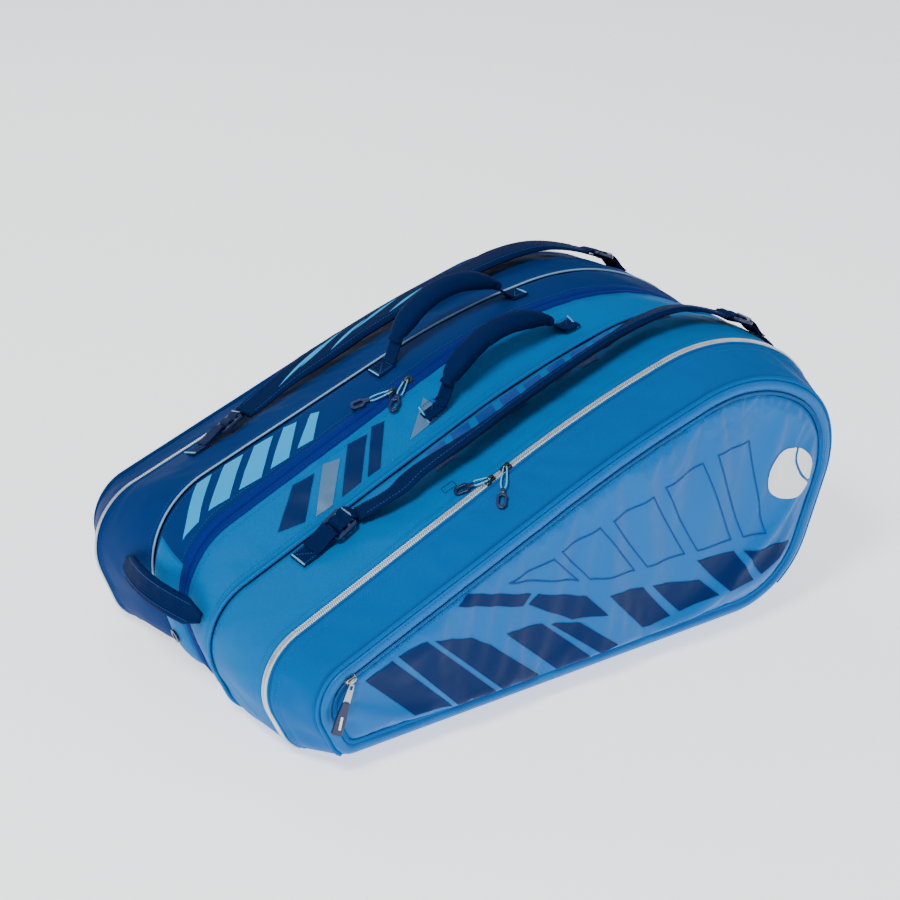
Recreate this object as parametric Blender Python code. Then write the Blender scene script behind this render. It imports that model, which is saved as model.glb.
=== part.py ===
"""Racket tournament bag: three side-by-side compartments standing on their long bottom edge.

Metres, +Z up, floor at z = 0. X runs along the bag from the narrow handle end (-X) to the
broad head end (+X). Y runs through the compartments, the front panel facing -Y.
"""

import math

import bmesh
import bpy
from mathutils import Vector

for old_object in list(bpy.data.objects):
    bpy.data.objects.remove(old_object, do_unlink=True)

# ---------------------------------------------------------------- driving dimensions
# Side profile, counter-clockwise from the bottom corner of the handle end: x, z, fillet.
PROFILE = (
    (-0.334, 0.000, 0.051),
    (0.301, 0.000, 0.128),
    (0.385, 0.246, 0.181),
    (0.226, 0.346, 0.315),
    (0.030, 0.299, 1.363),
    (-0.385, 0.146, 0.105),
)
ARC_STEPS = 5
CORNER_POINTS = ARC_STEPS + 1
RING_POINTS = CORNER_POINTS * len(PROFILE)

# Lengthwise planes of the seams and zips.
FRONT_PANEL_Y = -0.224
FRONT_ZIP_Y = -0.165
FRONT_SEAM_Y = -0.067
MIDDLE_ZIP_Y = 0.002
REAR_SEAM_Y = 0.067
REAR_ZIP_Y = 0.178
BACK_PANEL_Y = 0.238

# y, outward swell, shift of the nose in x and z, shift of the slope in z, height of the base.
STATIONS = (
    (FRONT_PANEL_Y, -0.022, 0.010, -0.026, -0.010, 0.021),
    (FRONT_ZIP_Y, 0.000, 0.009, -0.030, -0.006, 0.000),
    (FRONT_SEAM_Y, 0.002, 0.003, -0.022, 0.000, 0.000),
    (MIDDLE_ZIP_Y, -0.002, 0.008, 0.015, 0.040, 0.000),
    (REAR_SEAM_Y, 0.006, 0.012, 0.034, 0.025, 0.000),
    (REAR_ZIP_Y, -0.003, -0.012, -0.001, -0.004, 0.000),
    (BACK_PANEL_Y, -0.022, -0.004, 0.000, -0.004, 0.021),
)
# Spans between seams that stand out like a cushion, and by how much.
CUSHIONS = (
    (FRONT_ZIP_Y, FRONT_SEAM_Y, 0.004),
    (FRONT_SEAM_Y, MIDDLE_ZIP_Y, 0.003),
    (MIDDLE_ZIP_Y, REAR_SEAM_Y, 0.003),
    (REAR_SEAM_Y, REAR_ZIP_Y, 0.004),
)

GAP = 0.0004
WALL = 0.0030
ZIP_HALF = 0.0040
ZIP_OUT = 0.0010
ZIP_IN = 0.0022
PIPING_RADIUS = 0.0023
PANEL_DOME = 0.0140
# Section of a stuffed panel from its edge to its middle: share of the rise, share of the size.
DOME = ((0.0, 1.0), (0.45, 0.93), (0.78, 0.78), (0.93, 0.50), (1.0, 0.12))
LID_START = 8.55
LID_END = 38.45

NAVY = (0.010, 0.045, 0.130, 1.0)
DARK_BLUE = (0.004, 0.050, 0.235, 1.0)
ROYAL_BLUE = (0.003, 0.030, 0.300, 1.0)
SKY_BLUE = (0.000, 0.400, 0.870, 1.0)
SILVER = (0.720, 0.740, 0.760, 1.0)
GUNMETAL = (0.120, 0.125, 0.135, 1.0)
CORD_BLUE = (0.150, 0.560, 0.850, 1.0)
BOARD_BLACK = (0.015, 0.016, 0.018, 1.0)

PARTS = bpy.data.collections.new("parts")
CUTTERS = bpy.data.collections.new("cutters")
bpy.context.scene.collection.children.link(PARTS)
bpy.context.scene.collection.children.link(CUTTERS)
CUTTERS.hide_render = True


# ---------------------------------------------------------------- shared helpers
def add_object(name, vertices, faces, color, roughness=0.6, metallic=0.0):
    """Makes a mesh object with outward faces and its own material."""
    mesh = bpy.data.meshes.new(name)
    mesh.from_pydata([tuple(point) for point in vertices], [], faces)
    shape = bmesh.new()
    shape.from_mesh(mesh)
    bmesh.ops.remove_doubles(shape, verts=shape.verts, dist=1e-7)
    bmesh.ops.recalc_face_normals(shape, faces=shape.faces)
    if shape.calc_volume(signed=True) < 0:
        bmesh.ops.reverse_faces(shape, faces=shape.faces)
    shape.to_mesh(mesh)
    shape.free()
    material = bpy.data.materials.new(name + "_material")
    material.use_nodes = True
    shader = material.node_tree.nodes["Principled BSDF"]
    shader.inputs["Base Color"].default_value = color
    shader.inputs["Roughness"].default_value = roughness
    shader.inputs["Metallic"].default_value = metallic
    material.diffuse_color = color
    mesh.materials.append(material)
    part = bpy.data.objects.new(name, mesh)
    PARTS.objects.link(part)
    return part


def station_at(y):
    """Swell, nose shifts, slope shift and base height of the profile in the plane y."""
    last = len(STATIONS) - 1
    if y <= STATIONS[0][0]:
        return STATIONS[0][1:]
    if y >= STATIONS[last][0]:
        return STATIONS[last][1:]
    for low, high in zip(STATIONS, STATIONS[1:]):
        if low[0] <= y <= high[0]:
            part = (y - low[0]) / (high[0] - low[0])
            return tuple(a + (b - a) * part for a, b in zip(low[1:], high[1:]))
    return STATIONS[last][1:]


def cushion_at(y):
    for low, high, height in CUSHIONS:
        if low < y < high:
            return height * math.sin(math.pi * (y - low) / (high - low))
    return 0.0


def rounded_outline(corners, radii, offset):
    """Convex outline offset outwards, each corner replaced by an arc of CORNER_POINTS."""
    count = len(corners)
    normals = []
    for index in range(count):
        edge = (corners[(index + 1) % count] - corners[index]).normalized()
        normals.append(Vector((edge.y, -edge.x)))
    moved = []
    for index in range(count):
        before = normals[index - 1]
        after = normals[index]
        moved.append(corners[index] + (before + after) * (offset / (1.0 + before.dot(after))))
    outline = []
    for index in range(count):
        corner = moved[index]
        to_before = moved[index - 1] - corner
        to_after = moved[(index + 1) % count] - corner
        half_angle = to_before.angle(to_after) / 2.0
        radius = max(radii[index] + offset, 0.004)
        tangent = radius / math.tan(half_angle)
        tangent = min(tangent, 0.49 * to_before.length, 0.49 * to_after.length)
        radius = tangent * math.tan(half_angle)
        bisector = (to_before.normalized() + to_after.normalized()).normalized()
        centre = corner + bisector * (radius / math.sin(half_angle))
        start = math.atan2(normals[index - 1].y, normals[index - 1].x)
        turn = math.atan2(normals[index].y, normals[index].x) - start
        turn = (turn + math.pi) % (2.0 * math.pi) - math.pi
        for step in range(CORNER_POINTS):
            angle = start + turn * step / ARC_STEPS
            outline.append(centre + radius * Vector((math.cos(angle), math.sin(angle))))
    return outline


def ring(y, inset=0.0, cushioned=True):
    """Profile of the bag in the plane y, moved inwards by inset, as (x, z) vectors."""
    swell, nose_x, nose_z, slope_z, base_z = station_at(y)
    if cushioned:
        swell += cushion_at(y)
    corners = [Vector((x, z)) for x, z, radius in PROFILE]
    corners[0] += Vector((nose_x, base_z + swell))
    corners[1] += Vector((0.0, base_z + swell))
    corners[4] += Vector((0.0, slope_z))
    corners[5] += Vector((nose_x, nose_z))
    radii = [radius for x, z, radius in PROFILE]
    return rounded_outline(corners, radii, swell - inset)


def ring_point(outline, position):
    """Point of a closed outline at a fractional index."""
    index = int(math.floor(position))
    part = position - index
    low = outline[index % RING_POINTS]
    high = outline[(index + 1) % RING_POINTS]
    return low.lerp(high, part)


def path_positions(start, end):
    """Fractional indices of a part of the ring, its ends included."""
    inner = range(int(math.floor(start)) + 1, int(math.ceil(end)))
    return [start] + [float(index) for index in inner] + [end]


def band(name, sections, color, path=None, roughness=0.6, metallic=0.0):
    """Solid that follows the ring. sections is its closed cross-section as (y, inset)."""
    positions = path_positions(*path) if path else [float(k) for k in range(RING_POINTS)]
    rows = []
    for y, inset in sections:
        outline = ring(y, inset)
        rows.append([ring_point(outline, position) for position in positions])
    vertices = []
    for (y, inset), row in zip(sections, rows):
        vertices += [(point.x, y, point.y) for point in row]
    size = len(positions)
    faces = []
    for row in range(len(sections)):
        above = (row + 1) % len(sections)
        for column in range(size if path is None else size - 1):
            beside = (column + 1) % size
            faces.append(
                (
                    row * size + column,
                    row * size + beside,
                    above * size + beside,
                    above * size + column,
                )
            )
    if path:
        for column in (0, size - 1):
            faces += band_cap(len(sections), size, column)
    return add_object(name, vertices, faces, color, roughness, metallic)


def band_cap(row_count, size, column):
    """Quads that close the end of an open band, paired across its thickness."""
    faces = []
    low = 0
    high = row_count - 1
    while high - low >= 2:
        if high - low == 2:
            faces.append((low * size + column, (low + 1) * size + column, high * size + column))
        else:
            faces.append(
                (
                    low * size + column,
                    (low + 1) * size + column,
                    (high - 1) * size + column,
                    high * size + column,
                )
            )
        low += 1
        high -= 1
    return faces


def wall_sections(y_start, y_end, outside, inside, pieces):
    """Cross-section of a thin wall between two planes, out along one face and back."""
    step = (y_end - y_start) / pieces
    planes = [y_start + step * index for index in range(pieces + 1)]
    return [(y, outside) for y in planes] + [(y, inside) for y in reversed(planes)]


def circle_sections(y, inset, radius, sides=6):
    """Round cross-section for piping."""
    found = []
    for index in range(sides):
        angle = 2.0 * math.pi * index / sides
        found.append((y + radius * math.cos(angle), inset + radius * math.sin(angle)))
    return found


def panel(name, rows, color, roughness=0.6):
    """Closed panel lofted through rows of (y, inset, scale) about the panel's middle."""
    middle = Vector((0.030, 0.150))
    vertices = []
    for y, inset, scale in rows:
        for point in ring(y, inset, cushioned=False):
            spot = middle + (point - middle) * scale
            vertices.append((spot.x, y, spot.y))
    faces = []
    for row in range(len(rows) - 1):
        for column in range(RING_POINTS):
            beside = (column + 1) % RING_POINTS
            faces.append(
                (
                    row * RING_POINTS + column,
                    row * RING_POINTS + beside,
                    (row + 1) * RING_POINTS + beside,
                    (row + 1) * RING_POINTS + column,
                )
            )
    last = (len(rows) - 1) * RING_POINTS
    faces.append(tuple(range(RING_POINTS)))
    faces.append(tuple(range(last, last + RING_POINTS)))
    return add_object(name, vertices, faces, color, roughness)


def domed_panel(name, base_y, inset, direction, height, thickness, color, roughness=0.6):
    """Sheet that bulges outwards like a stuffed panel, hollow on its inner side."""
    outer = [(base_y + direction * height * rise, scale) for rise, scale in DOME]
    inner = [(y - direction * thickness, scale) for y, scale in outer]
    rows = list(reversed(outer)) + inner
    middle = Vector((0.030, 0.150))
    outline = ring(base_y, inset, cushioned=False)
    vertices = []
    for y, scale in rows:
        for point in outline:
            spot = middle + (point - middle) * scale
            vertices.append((spot.x, y, spot.y))
    faces = []
    for row in range(len(rows) - 1):
        for column in range(RING_POINTS):
            beside = (column + 1) % RING_POINTS
            faces.append(
                (
                    row * RING_POINTS + column,
                    row * RING_POINTS + beside,
                    (row + 1) * RING_POINTS + beside,
                    (row + 1) * RING_POINTS + column,
                )
            )
    last = (len(rows) - 1) * RING_POINTS
    faces.append(tuple(range(RING_POINTS)))
    faces.append(tuple(range(last, last + RING_POINTS)))
    return add_object(name, vertices, faces, color, roughness)


def top_point(x, y, lift=0.0):
    """Point above the top of the bag at x and y, lifted along the surface normal."""
    step = 0.002
    height = top_height(x, y)
    along = Vector((2.0 * step, 0.0, top_height(x + step, y) - top_height(x - step, y)))
    across = Vector((0.0, 2.0 * step, top_height(x, y + step) - top_height(x, y - step)))
    normal = along.cross(across).normalized()
    return Vector((x, y, height)) + normal * lift


def top_height(x, y):
    """Height of the upper side of the ring at x."""
    outline = ring(y)
    best = 0.0
    for index in range(RING_POINTS):
        low = outline[index]
        high = outline[(index + 1) % RING_POINTS]
        if min(low.x, high.x) <= x <= max(low.x, high.x) and abs(high.x - low.x) > 1e-9:
            best = max(best, low.y + (high.y - low.y) * (x - low.x) / (high.x - low.x))
    return best


def top_frame(x, y):
    """Surface directions at the top: along +X, across +Y and the outward normal."""
    along = (top_point(x + 0.004, y) - top_point(x - 0.004, y)).normalized()
    across = (top_point(x, y + 0.003) - top_point(x, y - 0.003)).normalized()
    normal = along.cross(across).normalized()
    return along, normal.cross(along).normalized(), normal


def sweep(name, centres, sides_dirs, up_dirs, half_widths, half_heights, color, corners=8,
          roughness=0.6, metallic=0.0, power=0.6):
    """Solid swept through rounded cross-sections of given half width and half height."""
    vertices = []
    for centre, side, up, wide, high in zip(
        centres, sides_dirs, up_dirs, half_widths, half_heights
    ):
        for corner in range(corners):
            angle = 2.0 * math.pi * (corner + 0.5) / corners
            cosine = math.cos(angle)
            sine = math.sin(angle)
            out_side = math.copysign(abs(cosine) ** power, cosine) * wide
            out_up = math.copysign(abs(sine) ** power, sine) * high
            vertices.append(centre + side * out_side + up * out_up)
    faces = []
    count = len(centres)
    for row in range(count - 1):
        for corner in range(corners):
            beside = (corner + 1) % corners
            faces.append(
                (
                    row * corners + corner,
                    row * corners + beside,
                    (row + 1) * corners + beside,
                    (row + 1) * corners + corner,
                )
            )
    faces.append(tuple(range(corners)))
    faces.append(tuple(range((count - 1) * corners, count * corners)))
    return add_object(name, vertices, faces, color, roughness, metallic)


def path_directions(centres, up_hint):
    """Side and up directions along a path, kept square to its run."""
    sides = []
    ups = []
    for index in range(len(centres)):
        before = centres[max(index - 1, 0)]
        after = centres[min(index + 1, len(centres) - 1)]
        run = (after - before).normalized()
        side = up_hint.cross(run).normalized()
        sides.append(side)
        ups.append(run.cross(side).normalized())
    return sides, ups


def turned(direction, axis, angle):
    """Direction turned about a unit axis."""
    return (
        direction * math.cos(angle)
        + axis.cross(direction) * math.sin(angle)
        + axis * axis.dot(direction) * (1.0 - math.cos(angle))
    )


def prism(name, outline, origin, u_axis, v_axis, thickness, color, roughness=0.6,
          metallic=0.0):
    """Flat plate: outline in the plane of u and v, extruded both ways from its middle."""
    normal = u_axis.cross(v_axis).normalized()
    vertices = []
    for offset in (-thickness / 2.0, thickness / 2.0):
        for u, v in outline:
            vertices.append(origin + u_axis * u + v_axis * v + normal * offset)
    count = len(outline)
    faces = [tuple(range(count)), tuple(range(count, 2 * count))]
    for index in range(count):
        beside = (index + 1) % count
        faces.append((index, beside, count + beside, count + index))
    return add_object(name, vertices, faces, color, roughness, metallic)


def slotted_plate(name, us, vs, slots, origin, u_axis, v_axis, thickness, color,
                  roughness=0.5, metallic=0.0):
    """Plate on a grid of lines with some cells left open, as in a ladder-lock buckle."""
    normal = u_axis.cross(v_axis).normalized()
    columns = len(us)
    vertices = []
    for offset in (-thickness / 2.0, thickness / 2.0):
        for v in vs:
            for u in us:
                vertices.append(origin + u_axis * u + v_axis * v + normal * offset)
    layer = columns * len(vs)
    solid = set()
    for row in range(len(vs) - 1):
        for column in range(columns - 1):
            if (column, row) not in slots:
                solid.add((column, row))
    faces = []
    for column, row in sorted(solid):
        a = row * columns + column
        b = a + 1
        c = a + columns + 1
        d = a + columns
        faces.append((a, b, c, d))
        faces.append((layer + a, layer + b, layer + c, layer + d))
        for beside, first, second in (
            ((column, row - 1), a, b),
            ((column + 1, row), b, c),
            ((column, row + 1), c, d),
            ((column - 1, row), d, a),
        ):
            if beside not in solid:
                faces.append((first, second, layer + second, layer + first))
    return add_object(name, vertices, faces, color, roughness, metallic)


# ---------------------------------------------------------------- compartment shells
def gusset(name, y_start, y_end, color, path=None, pieces=3):
    return band(name, wall_sections(y_start, y_end, 0.0, WALL, pieces), color, path)


gusset(
    "front_lid_gusset",
    FRONT_PANEL_Y + 0.0028,
    FRONT_ZIP_Y - ZIP_HALF - 0.0006,
    SKY_BLUE,
    (LID_START, LID_END),
)
gusset(
    "front_bottom_panel",
    FRONT_PANEL_Y + 0.0028,
    FRONT_ZIP_Y + ZIP_HALF,
    SKY_BLUE,
    (LID_END - RING_POINTS + 0.10, LID_START - 0.10),
    2,
)
gusset(
    "front_rear_gusset",
    FRONT_ZIP_Y + ZIP_HALF + 0.0006,
    FRONT_SEAM_Y - 0.0024,
    SKY_BLUE,
    None,
    4,
)
gusset(
    "middle_front_gusset",
    FRONT_SEAM_Y + 0.0024,
    MIDDLE_ZIP_Y - ZIP_HALF - 0.0006,
    SKY_BLUE,
    None,
    3,
)
gusset(
    "middle_rear_gusset",
    MIDDLE_ZIP_Y + ZIP_HALF + 0.0006,
    REAR_SEAM_Y - 0.0024,
    DARK_BLUE,
    None,
    3,
)
gusset(
    "back_front_gusset",
    REAR_SEAM_Y + 0.0024,
    REAR_ZIP_Y - ZIP_HALF - 0.0006,
    DARK_BLUE,
    None,
    4,
)
gusset(
    "back_bottom_panel",
    REAR_ZIP_Y - ZIP_HALF,
    BACK_PANEL_Y - 0.0028,
    DARK_BLUE,
    (LID_END - RING_POINTS + 0.10, LID_START - 0.10),
    2,
)
gusset(
    "back_lid_gusset",
    REAR_ZIP_Y + ZIP_HALF + 0.0006,
    BACK_PANEL_Y - 0.0028,
    DARK_BLUE,
    (LID_START, LID_END),
)
gusset(
    "middle_bottom_strip",
    MIDDLE_ZIP_Y - ZIP_HALF + 0.0002,
    MIDDLE_ZIP_Y + ZIP_HALF,
    NAVY,
    (LID_END - RING_POINTS + 0.10, LID_START - 0.10),
    1,
)

# Padded walls between the compartments.
panel(
    "front_divider_panel",
    [(FRONT_SEAM_Y - 0.0019, 0.0005, 1.0), (FRONT_SEAM_Y + 0.0019, 0.0005, 1.0)],
    NAVY,
)
panel(
    "rear_divider_panel",
    [(REAR_SEAM_Y - 0.0019, 0.0005, 1.0), (REAR_SEAM_Y + 0.0019, 0.0005, 1.0)],
    NAVY,
)

# Front panel: a lining wall, a rim that carries the pocket zip and the stuffed pocket front.
panel(
    "front_lid_lining",
    [(FRONT_PANEL_Y - 0.0010, 0.0036, 1.0), (FRONT_PANEL_Y + 0.0016, 0.0036, 1.0)],
    SKY_BLUE,
)
band(
    "front_panel_rim",
    wall_sections(FRONT_PANEL_Y - 0.0042, FRONT_PANEL_Y - 0.0014, 0.0036, 0.0152, 1),
    SKY_BLUE,
)
band(
    "pocket_zip_lower_half",
    wall_sections(FRONT_PANEL_Y - 0.0046, FRONT_PANEL_Y - 0.0014, 0.0156, 0.0184, 1),
    NAVY,
    (14.0, 32.5),
)
domed_panel(
    "front_pocket_panel",
    FRONT_PANEL_Y - 0.0042,
    0.0188,
    -1.0,
    PANEL_DOME,
    0.0026,
    SKY_BLUE,
    0.4,
)
domed_panel(
    "back_lid_panel",
    BACK_PANEL_Y + 0.0010,
    0.0036,
    1.0,
    0.0110,
    0.0026,
    DARK_BLUE,
)

# ---------------------------------------------------------------- zips and piping
ZIP_COLORS = {"front": SILVER, "middle": ROYAL_BLUE, "rear": SILVER}
for zip_name, zip_y in (
    ("front", FRONT_ZIP_Y),
    ("middle", MIDDLE_ZIP_Y),
    ("rear", REAR_ZIP_Y),
):
    band(
        zip_name + "_zip_near_half",
        wall_sections(zip_y - ZIP_HALF - 0.0002, zip_y - 0.0002, -ZIP_OUT, ZIP_IN, 1),
        ZIP_COLORS[zip_name],
        (LID_START, LID_END),
    )
    band(
        zip_name + "_zip_far_half",
        wall_sections(zip_y + 0.0002, zip_y + ZIP_HALF + 0.0002, -ZIP_OUT, ZIP_IN, 1),
        ZIP_COLORS[zip_name],
        (LID_START, LID_END),
    )

band(
    "front_panel_piping",
    circle_sections(FRONT_PANEL_Y, 0.0006, PIPING_RADIUS),
    SKY_BLUE,
    (LID_START, LID_END),
)
band(
    "front_seam_piping",
    circle_sections(FRONT_SEAM_Y, -0.0022, PIPING_RADIUS),
    SKY_BLUE,
    (LID_START, LID_END),
)
band(
    "rear_seam_piping",
    circle_sections(REAR_SEAM_Y, -0.0022, PIPING_RADIUS),
    CORD_BLUE,
    (LID_START, LID_END),
)
band(
    "back_panel_piping",
    circle_sections(BACK_PANEL_Y, 0.0006, PIPING_RADIUS),
    DARK_BLUE,
    (LID_START, LID_END),
)


# ---------------------------------------------------------------- zip sliders and pulls
SLIDER_LENGTH = 0.0130
SLIDER_WIDTH = 0.0090
SLIDER_HEIGHT = 0.0050


def slider(name, origin, along, normal, color=GUNMETAL):
    """Slider body with a narrow waist, standing on the zip along its run."""
    across = normal.cross(along).normalized()
    half = SLIDER_LENGTH / 2.0
    wide = SLIDER_WIDTH / 2.0
    outline = (
        (-half, -wide * 0.7),
        (-half * 0.1, -wide * 0.7),
        (half * 0.5, -wide),
        (half, -wide * 0.8),
        (half, wide * 0.8),
        (half * 0.5, wide),
        (-half * 0.1, wide * 0.7),
        (-half, wide * 0.7),
    )
    middle = origin + normal * (SLIDER_HEIGHT / 2.0)
    return prism(name, outline, middle, along, across, SLIDER_HEIGHT, color, 0.3, 1.0)


def cord_pull(name, root, tip, normal_hint):
    """Looped cord with a moulded tab at its end, lying over the fabric."""
    run = tip - root
    length = run.length
    run = run.normalized()
    side = normal_hint.cross(run).normalized()
    outline = (
        (0.0000, -0.0010),
        (length - 0.0170, -0.0018),
        (length - 0.0130, -0.0055),
        (length - 0.0020, -0.0055),
        (length, -0.0030),
        (length, 0.0030),
        (length - 0.0020, 0.0055),
        (length - 0.0130, 0.0055),
        (length - 0.0170, 0.0018),
        (0.0000, 0.0010),
    )
    return prism(name, outline, root, run, side, 0.0024, NAVY, 0.5)


# name, slider x, zip plane, slider's forward sense, tip x, tip y
COMPARTMENT_SLIDERS = (
    ("front_zip_slider_low", -0.084, FRONT_ZIP_Y, -1.0, -0.118, -0.150),
    ("front_zip_slider_high", -0.064, FRONT_ZIP_Y, 1.0, -0.092, -0.196),
    ("middle_zip_slider_low", -0.095, MIDDLE_ZIP_Y, -1.0, -0.137, 0.017),
    ("middle_zip_slider_high", -0.075, MIDDLE_ZIP_Y, 1.0, -0.108, -0.017),
    ("rear_zip_slider_low", -0.094, REAR_ZIP_Y, -1.0, -0.146, 0.196),
    ("rear_zip_slider_high", -0.074, REAR_ZIP_Y, 1.0, -0.112, 0.212),
)
TIP_LIFTS = {"middle_zip_slider_low": 0.0062, "middle_zip_slider_high": 0.0050}
for slider_name, slider_x, slider_y, sense, tip_x, tip_y in COMPARTMENT_SLIDERS:
    along, across, normal = top_frame(slider_x, slider_y)
    seat = top_point(slider_x, slider_y, ZIP_OUT + 0.0007)
    slider(slider_name, seat, along * sense, normal)
    toward = Vector((tip_x - slider_x, tip_y - slider_y, 0.0)).normalized()
    reach = 0.0055 / max(abs(toward.y), 0.25)
    reach = min(reach, 0.0105)
    start_x = slider_x + toward.x * reach
    start_y = slider_y + toward.y * reach
    root = top_point(start_x, start_y, 0.0058)
    tip = top_point(tip_x, tip_y, TIP_LIFTS.get(slider_name, 0.0030))
    tip_normal = top_frame(tip_x, tip_y)[2]
    cord_pull(slider_name.replace("slider", "pull"), root, tip, (normal + tip_normal).normalized())

# Pocket slider on the panel's edge, with a metal plate and a fabric tab.
POCKET_SLIDER_X = -0.296
pocket_ring = ring(FRONT_PANEL_Y, 0.0154, cushioned=False)
pocket_z = 0.0
for index in range(RING_POINTS):
    low = pocket_ring[index]
    high = pocket_ring[(index + 1) % RING_POINTS]
    if min(low.x, high.x) <= POCKET_SLIDER_X <= max(low.x, high.x):
        height = low.y + (high.y - low.y) * (POCKET_SLIDER_X - low.x) / (high.x - low.x)
        if height > pocket_z:
            pocket_z = height
            pocket_run = Vector((low.x - high.x, 0.0, low.y - high.y)).normalized()
POCKET_OUT_Y = FRONT_PANEL_Y - 0.0046 - 0.0004
pocket_seat = Vector((POCKET_SLIDER_X, POCKET_OUT_Y, pocket_z))
slider("pocket_zip_slider", pocket_seat, pocket_run, Vector((0.0, -1.0, 0.0)))
PULL_COS, PULL_SIN = math.cos(math.radians(11.0)), math.sin(math.radians(11.0))
PULL_OUTLINE = (
    (0.0000, -0.0035),
    (0.0260, -0.0045),
    (0.0300, -0.0065),
    (0.0460, -0.0065),
    (0.0460, 0.0065),
    (0.0300, 0.0065),
    (0.0260, 0.0045),
    (0.0000, 0.0035),
)
prism(
    "pocket_zip_pull",
    PULL_OUTLINE,
    Vector((POCKET_SLIDER_X - 0.0035, POCKET_OUT_Y - 0.0052, pocket_z - 0.0085)),
    Vector((-0.50 * PULL_COS, -PULL_SIN, -0.866 * PULL_COS)),
    Vector((-0.866, 0.0, 0.50)),
    0.0024,
    GUNMETAL,
    0.35,
    0.8,
)


# ---------------------------------------------------------------- top carry handles
def carry_handle(name, x_low, x_high, y, rise, color=NAVY):
    """Padded grip that arches between two points of the top."""
    low = top_point(x_low, y, 0.0075)
    high = top_point(x_high, y, 0.0075)
    run = (high - low).normalized()
    side = Vector((0.0, 1.0, 0.0))
    up = run.cross(side).normalized()
    if up.z < 0:
        up = -up
    count = 12
    centres = []
    wides = []
    highs = []
    for step in range(count + 1):
        part = step / count
        bow = math.sin(math.pi * part) ** 0.62
        centres.append(low.lerp(high, part) + up * (rise * bow))
        full = min(1.0, 5.0 * min(part, 1.0 - part))
        wides.append(0.0090 + 0.0020 * full)
        highs.append(0.0040 + 0.0045 * full)
    sides, ups = path_directions(centres, Vector((0.0, 1.0, 0.0)).cross(run))
    side_dirs = [side] * len(centres)
    up_dirs = []
    for index in range(len(centres)):
        before = centres[max(index - 1, 0)]
        after = centres[min(index + 1, count)]
        up_dirs.append((after - before).normalized().cross(side).normalized())
    return sweep(name, centres, side_dirs, up_dirs, wides, highs, color, 8, 0.7, 0.0, 0.8)



def handle_tab(name, x_start, x_end, y, half_width, color=NAVY):
    """Flat webbing end of a handle sewn on the fabric."""
    centres = []
    sides = []
    ups = []
    for step in range(3):
        x = x_start + (x_end - x_start) * step / 2.0
        along, across, normal = top_frame(x, y)
        centres.append(top_point(x, y, 0.0022))
        sides.append(across)
        ups.append(normal)
    return sweep(
        name, centres, sides, ups, [half_width] * 3, [0.0010] * 3, color, 4, 0.7, 0.0, 0.3
    )


carry_handle("front_carry_handle", -0.058, 0.092, -0.041, 0.040)
carry_handle("rear_carry_handle", -0.066, 0.084, 0.044, 0.045)
handle_tab("front_handle_tab_low", -0.084, -0.0610, -0.041, 0.0120)
handle_tab("front_handle_tab_high", 0.0950, 0.1150, -0.041, 0.0120)
handle_tab("rear_handle_tab_low", -0.092, -0.0690, 0.044, 0.0120)
handle_tab("rear_handle_tab_high", 0.0870, 0.1070, 0.044, 0.0120)


# ---------------------------------------------------------------- shoulder straps
def blend_path(points, x):
    """Value at x of a polyline given as (x, value)."""
    if x <= points[0][0]:
        return points[0][1]
    for low, high in zip(points, points[1:]):
        if x <= high[0]:
            part = (x - low[0]) / (high[0] - low[0])
            part = part * part * (3.0 - 2.0 * part)
            return low[1] + (high[1] - low[1]) * part
    return points[-1][1]


def shoulder_strap(name, x_low, x_high, y_points, lift_points, tilt, half_width, color=NAVY):
    """Padded strap along the top, one edge raised."""
    count = 16
    centres = []
    sides = []
    ups = []
    wides = []
    highs = []
    for step in range(count + 1):
        part = step / count
        x = x_low + (x_high - x_low) * part
        y = blend_path(y_points, x)
        centres.append(top_point(x, y, blend_path(lift_points, x)))
        taper = min(1.0, 4.0 * min(part, 1.0 - part))
        wides.append(0.0135 + (half_width - 0.0135) * taper)
        highs.append(0.0018 + 0.0030 * taper)
    for index in range(count + 1):
        before = centres[max(index - 1, 0)]
        after = centres[min(index + 1, count)]
        run = (after - before).normalized()
        part = index / count
        ease = min(1.0, 3.0 * min(part, 1.0 - part))
        level = Vector((0.0, 0.0, 1.0)).cross(run).normalized()
        level = turned(level, run, tilt * ease)
        sides.append(level)
        ups.append(run.cross(level).normalized())
    return sweep(name, centres, sides, ups, wides, highs, color, 8, 0.7, 0.0, 0.5)


FRONT_STRAP_Y = ((-0.215, -0.094), (-0.150, -0.112), (-0.050, -0.120), (0.280, -0.112))
BACK_STRAP_Y = ((-0.215, 0.138), (-0.150, 0.142), (-0.050, 0.144), (0.280, 0.138))
FRONT_STRAP_LIFT = ((-0.205, 0.0080), (-0.120, 0.0200), (0.180, 0.0200), (0.275, 0.0090))
BACK_STRAP_LIFT = ((-0.205, 0.0080), (-0.120, 0.0145), (0.180, 0.0145), (0.275, 0.0090))
shoulder_strap(
    "front_shoulder_strap",
    -0.200,
    0.262,
    FRONT_STRAP_Y,
    FRONT_STRAP_LIFT,
    math.radians(-36.0),
    0.0200,
)
shoulder_strap(
    "back_shoulder_strap",
    -0.200,
    0.262,
    BACK_STRAP_Y,
    BACK_STRAP_LIFT,
    math.radians(-12.0),
    0.0230,
)


def ladder_lock(name, x, y, lift, pitch):
    """Strap adjuster pitched up from the surface, its two slots filled by the webbing."""
    along, across, normal = top_frame(x, y)
    u_axis = turned(along, across, -pitch)
    outline = (
        (-0.0165, -0.0150),
        (-0.0125, -0.0190),
        (0.0090, -0.0190),
        (0.0130, -0.0150),
        (0.0130, 0.0150),
        (0.0090, 0.0190),
        (-0.0125, 0.0190),
        (-0.0165, 0.0150),
    )
    return prism(name, outline, top_point(x, y, lift), u_axis, across, 0.0036, NAVY, 0.35)


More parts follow.
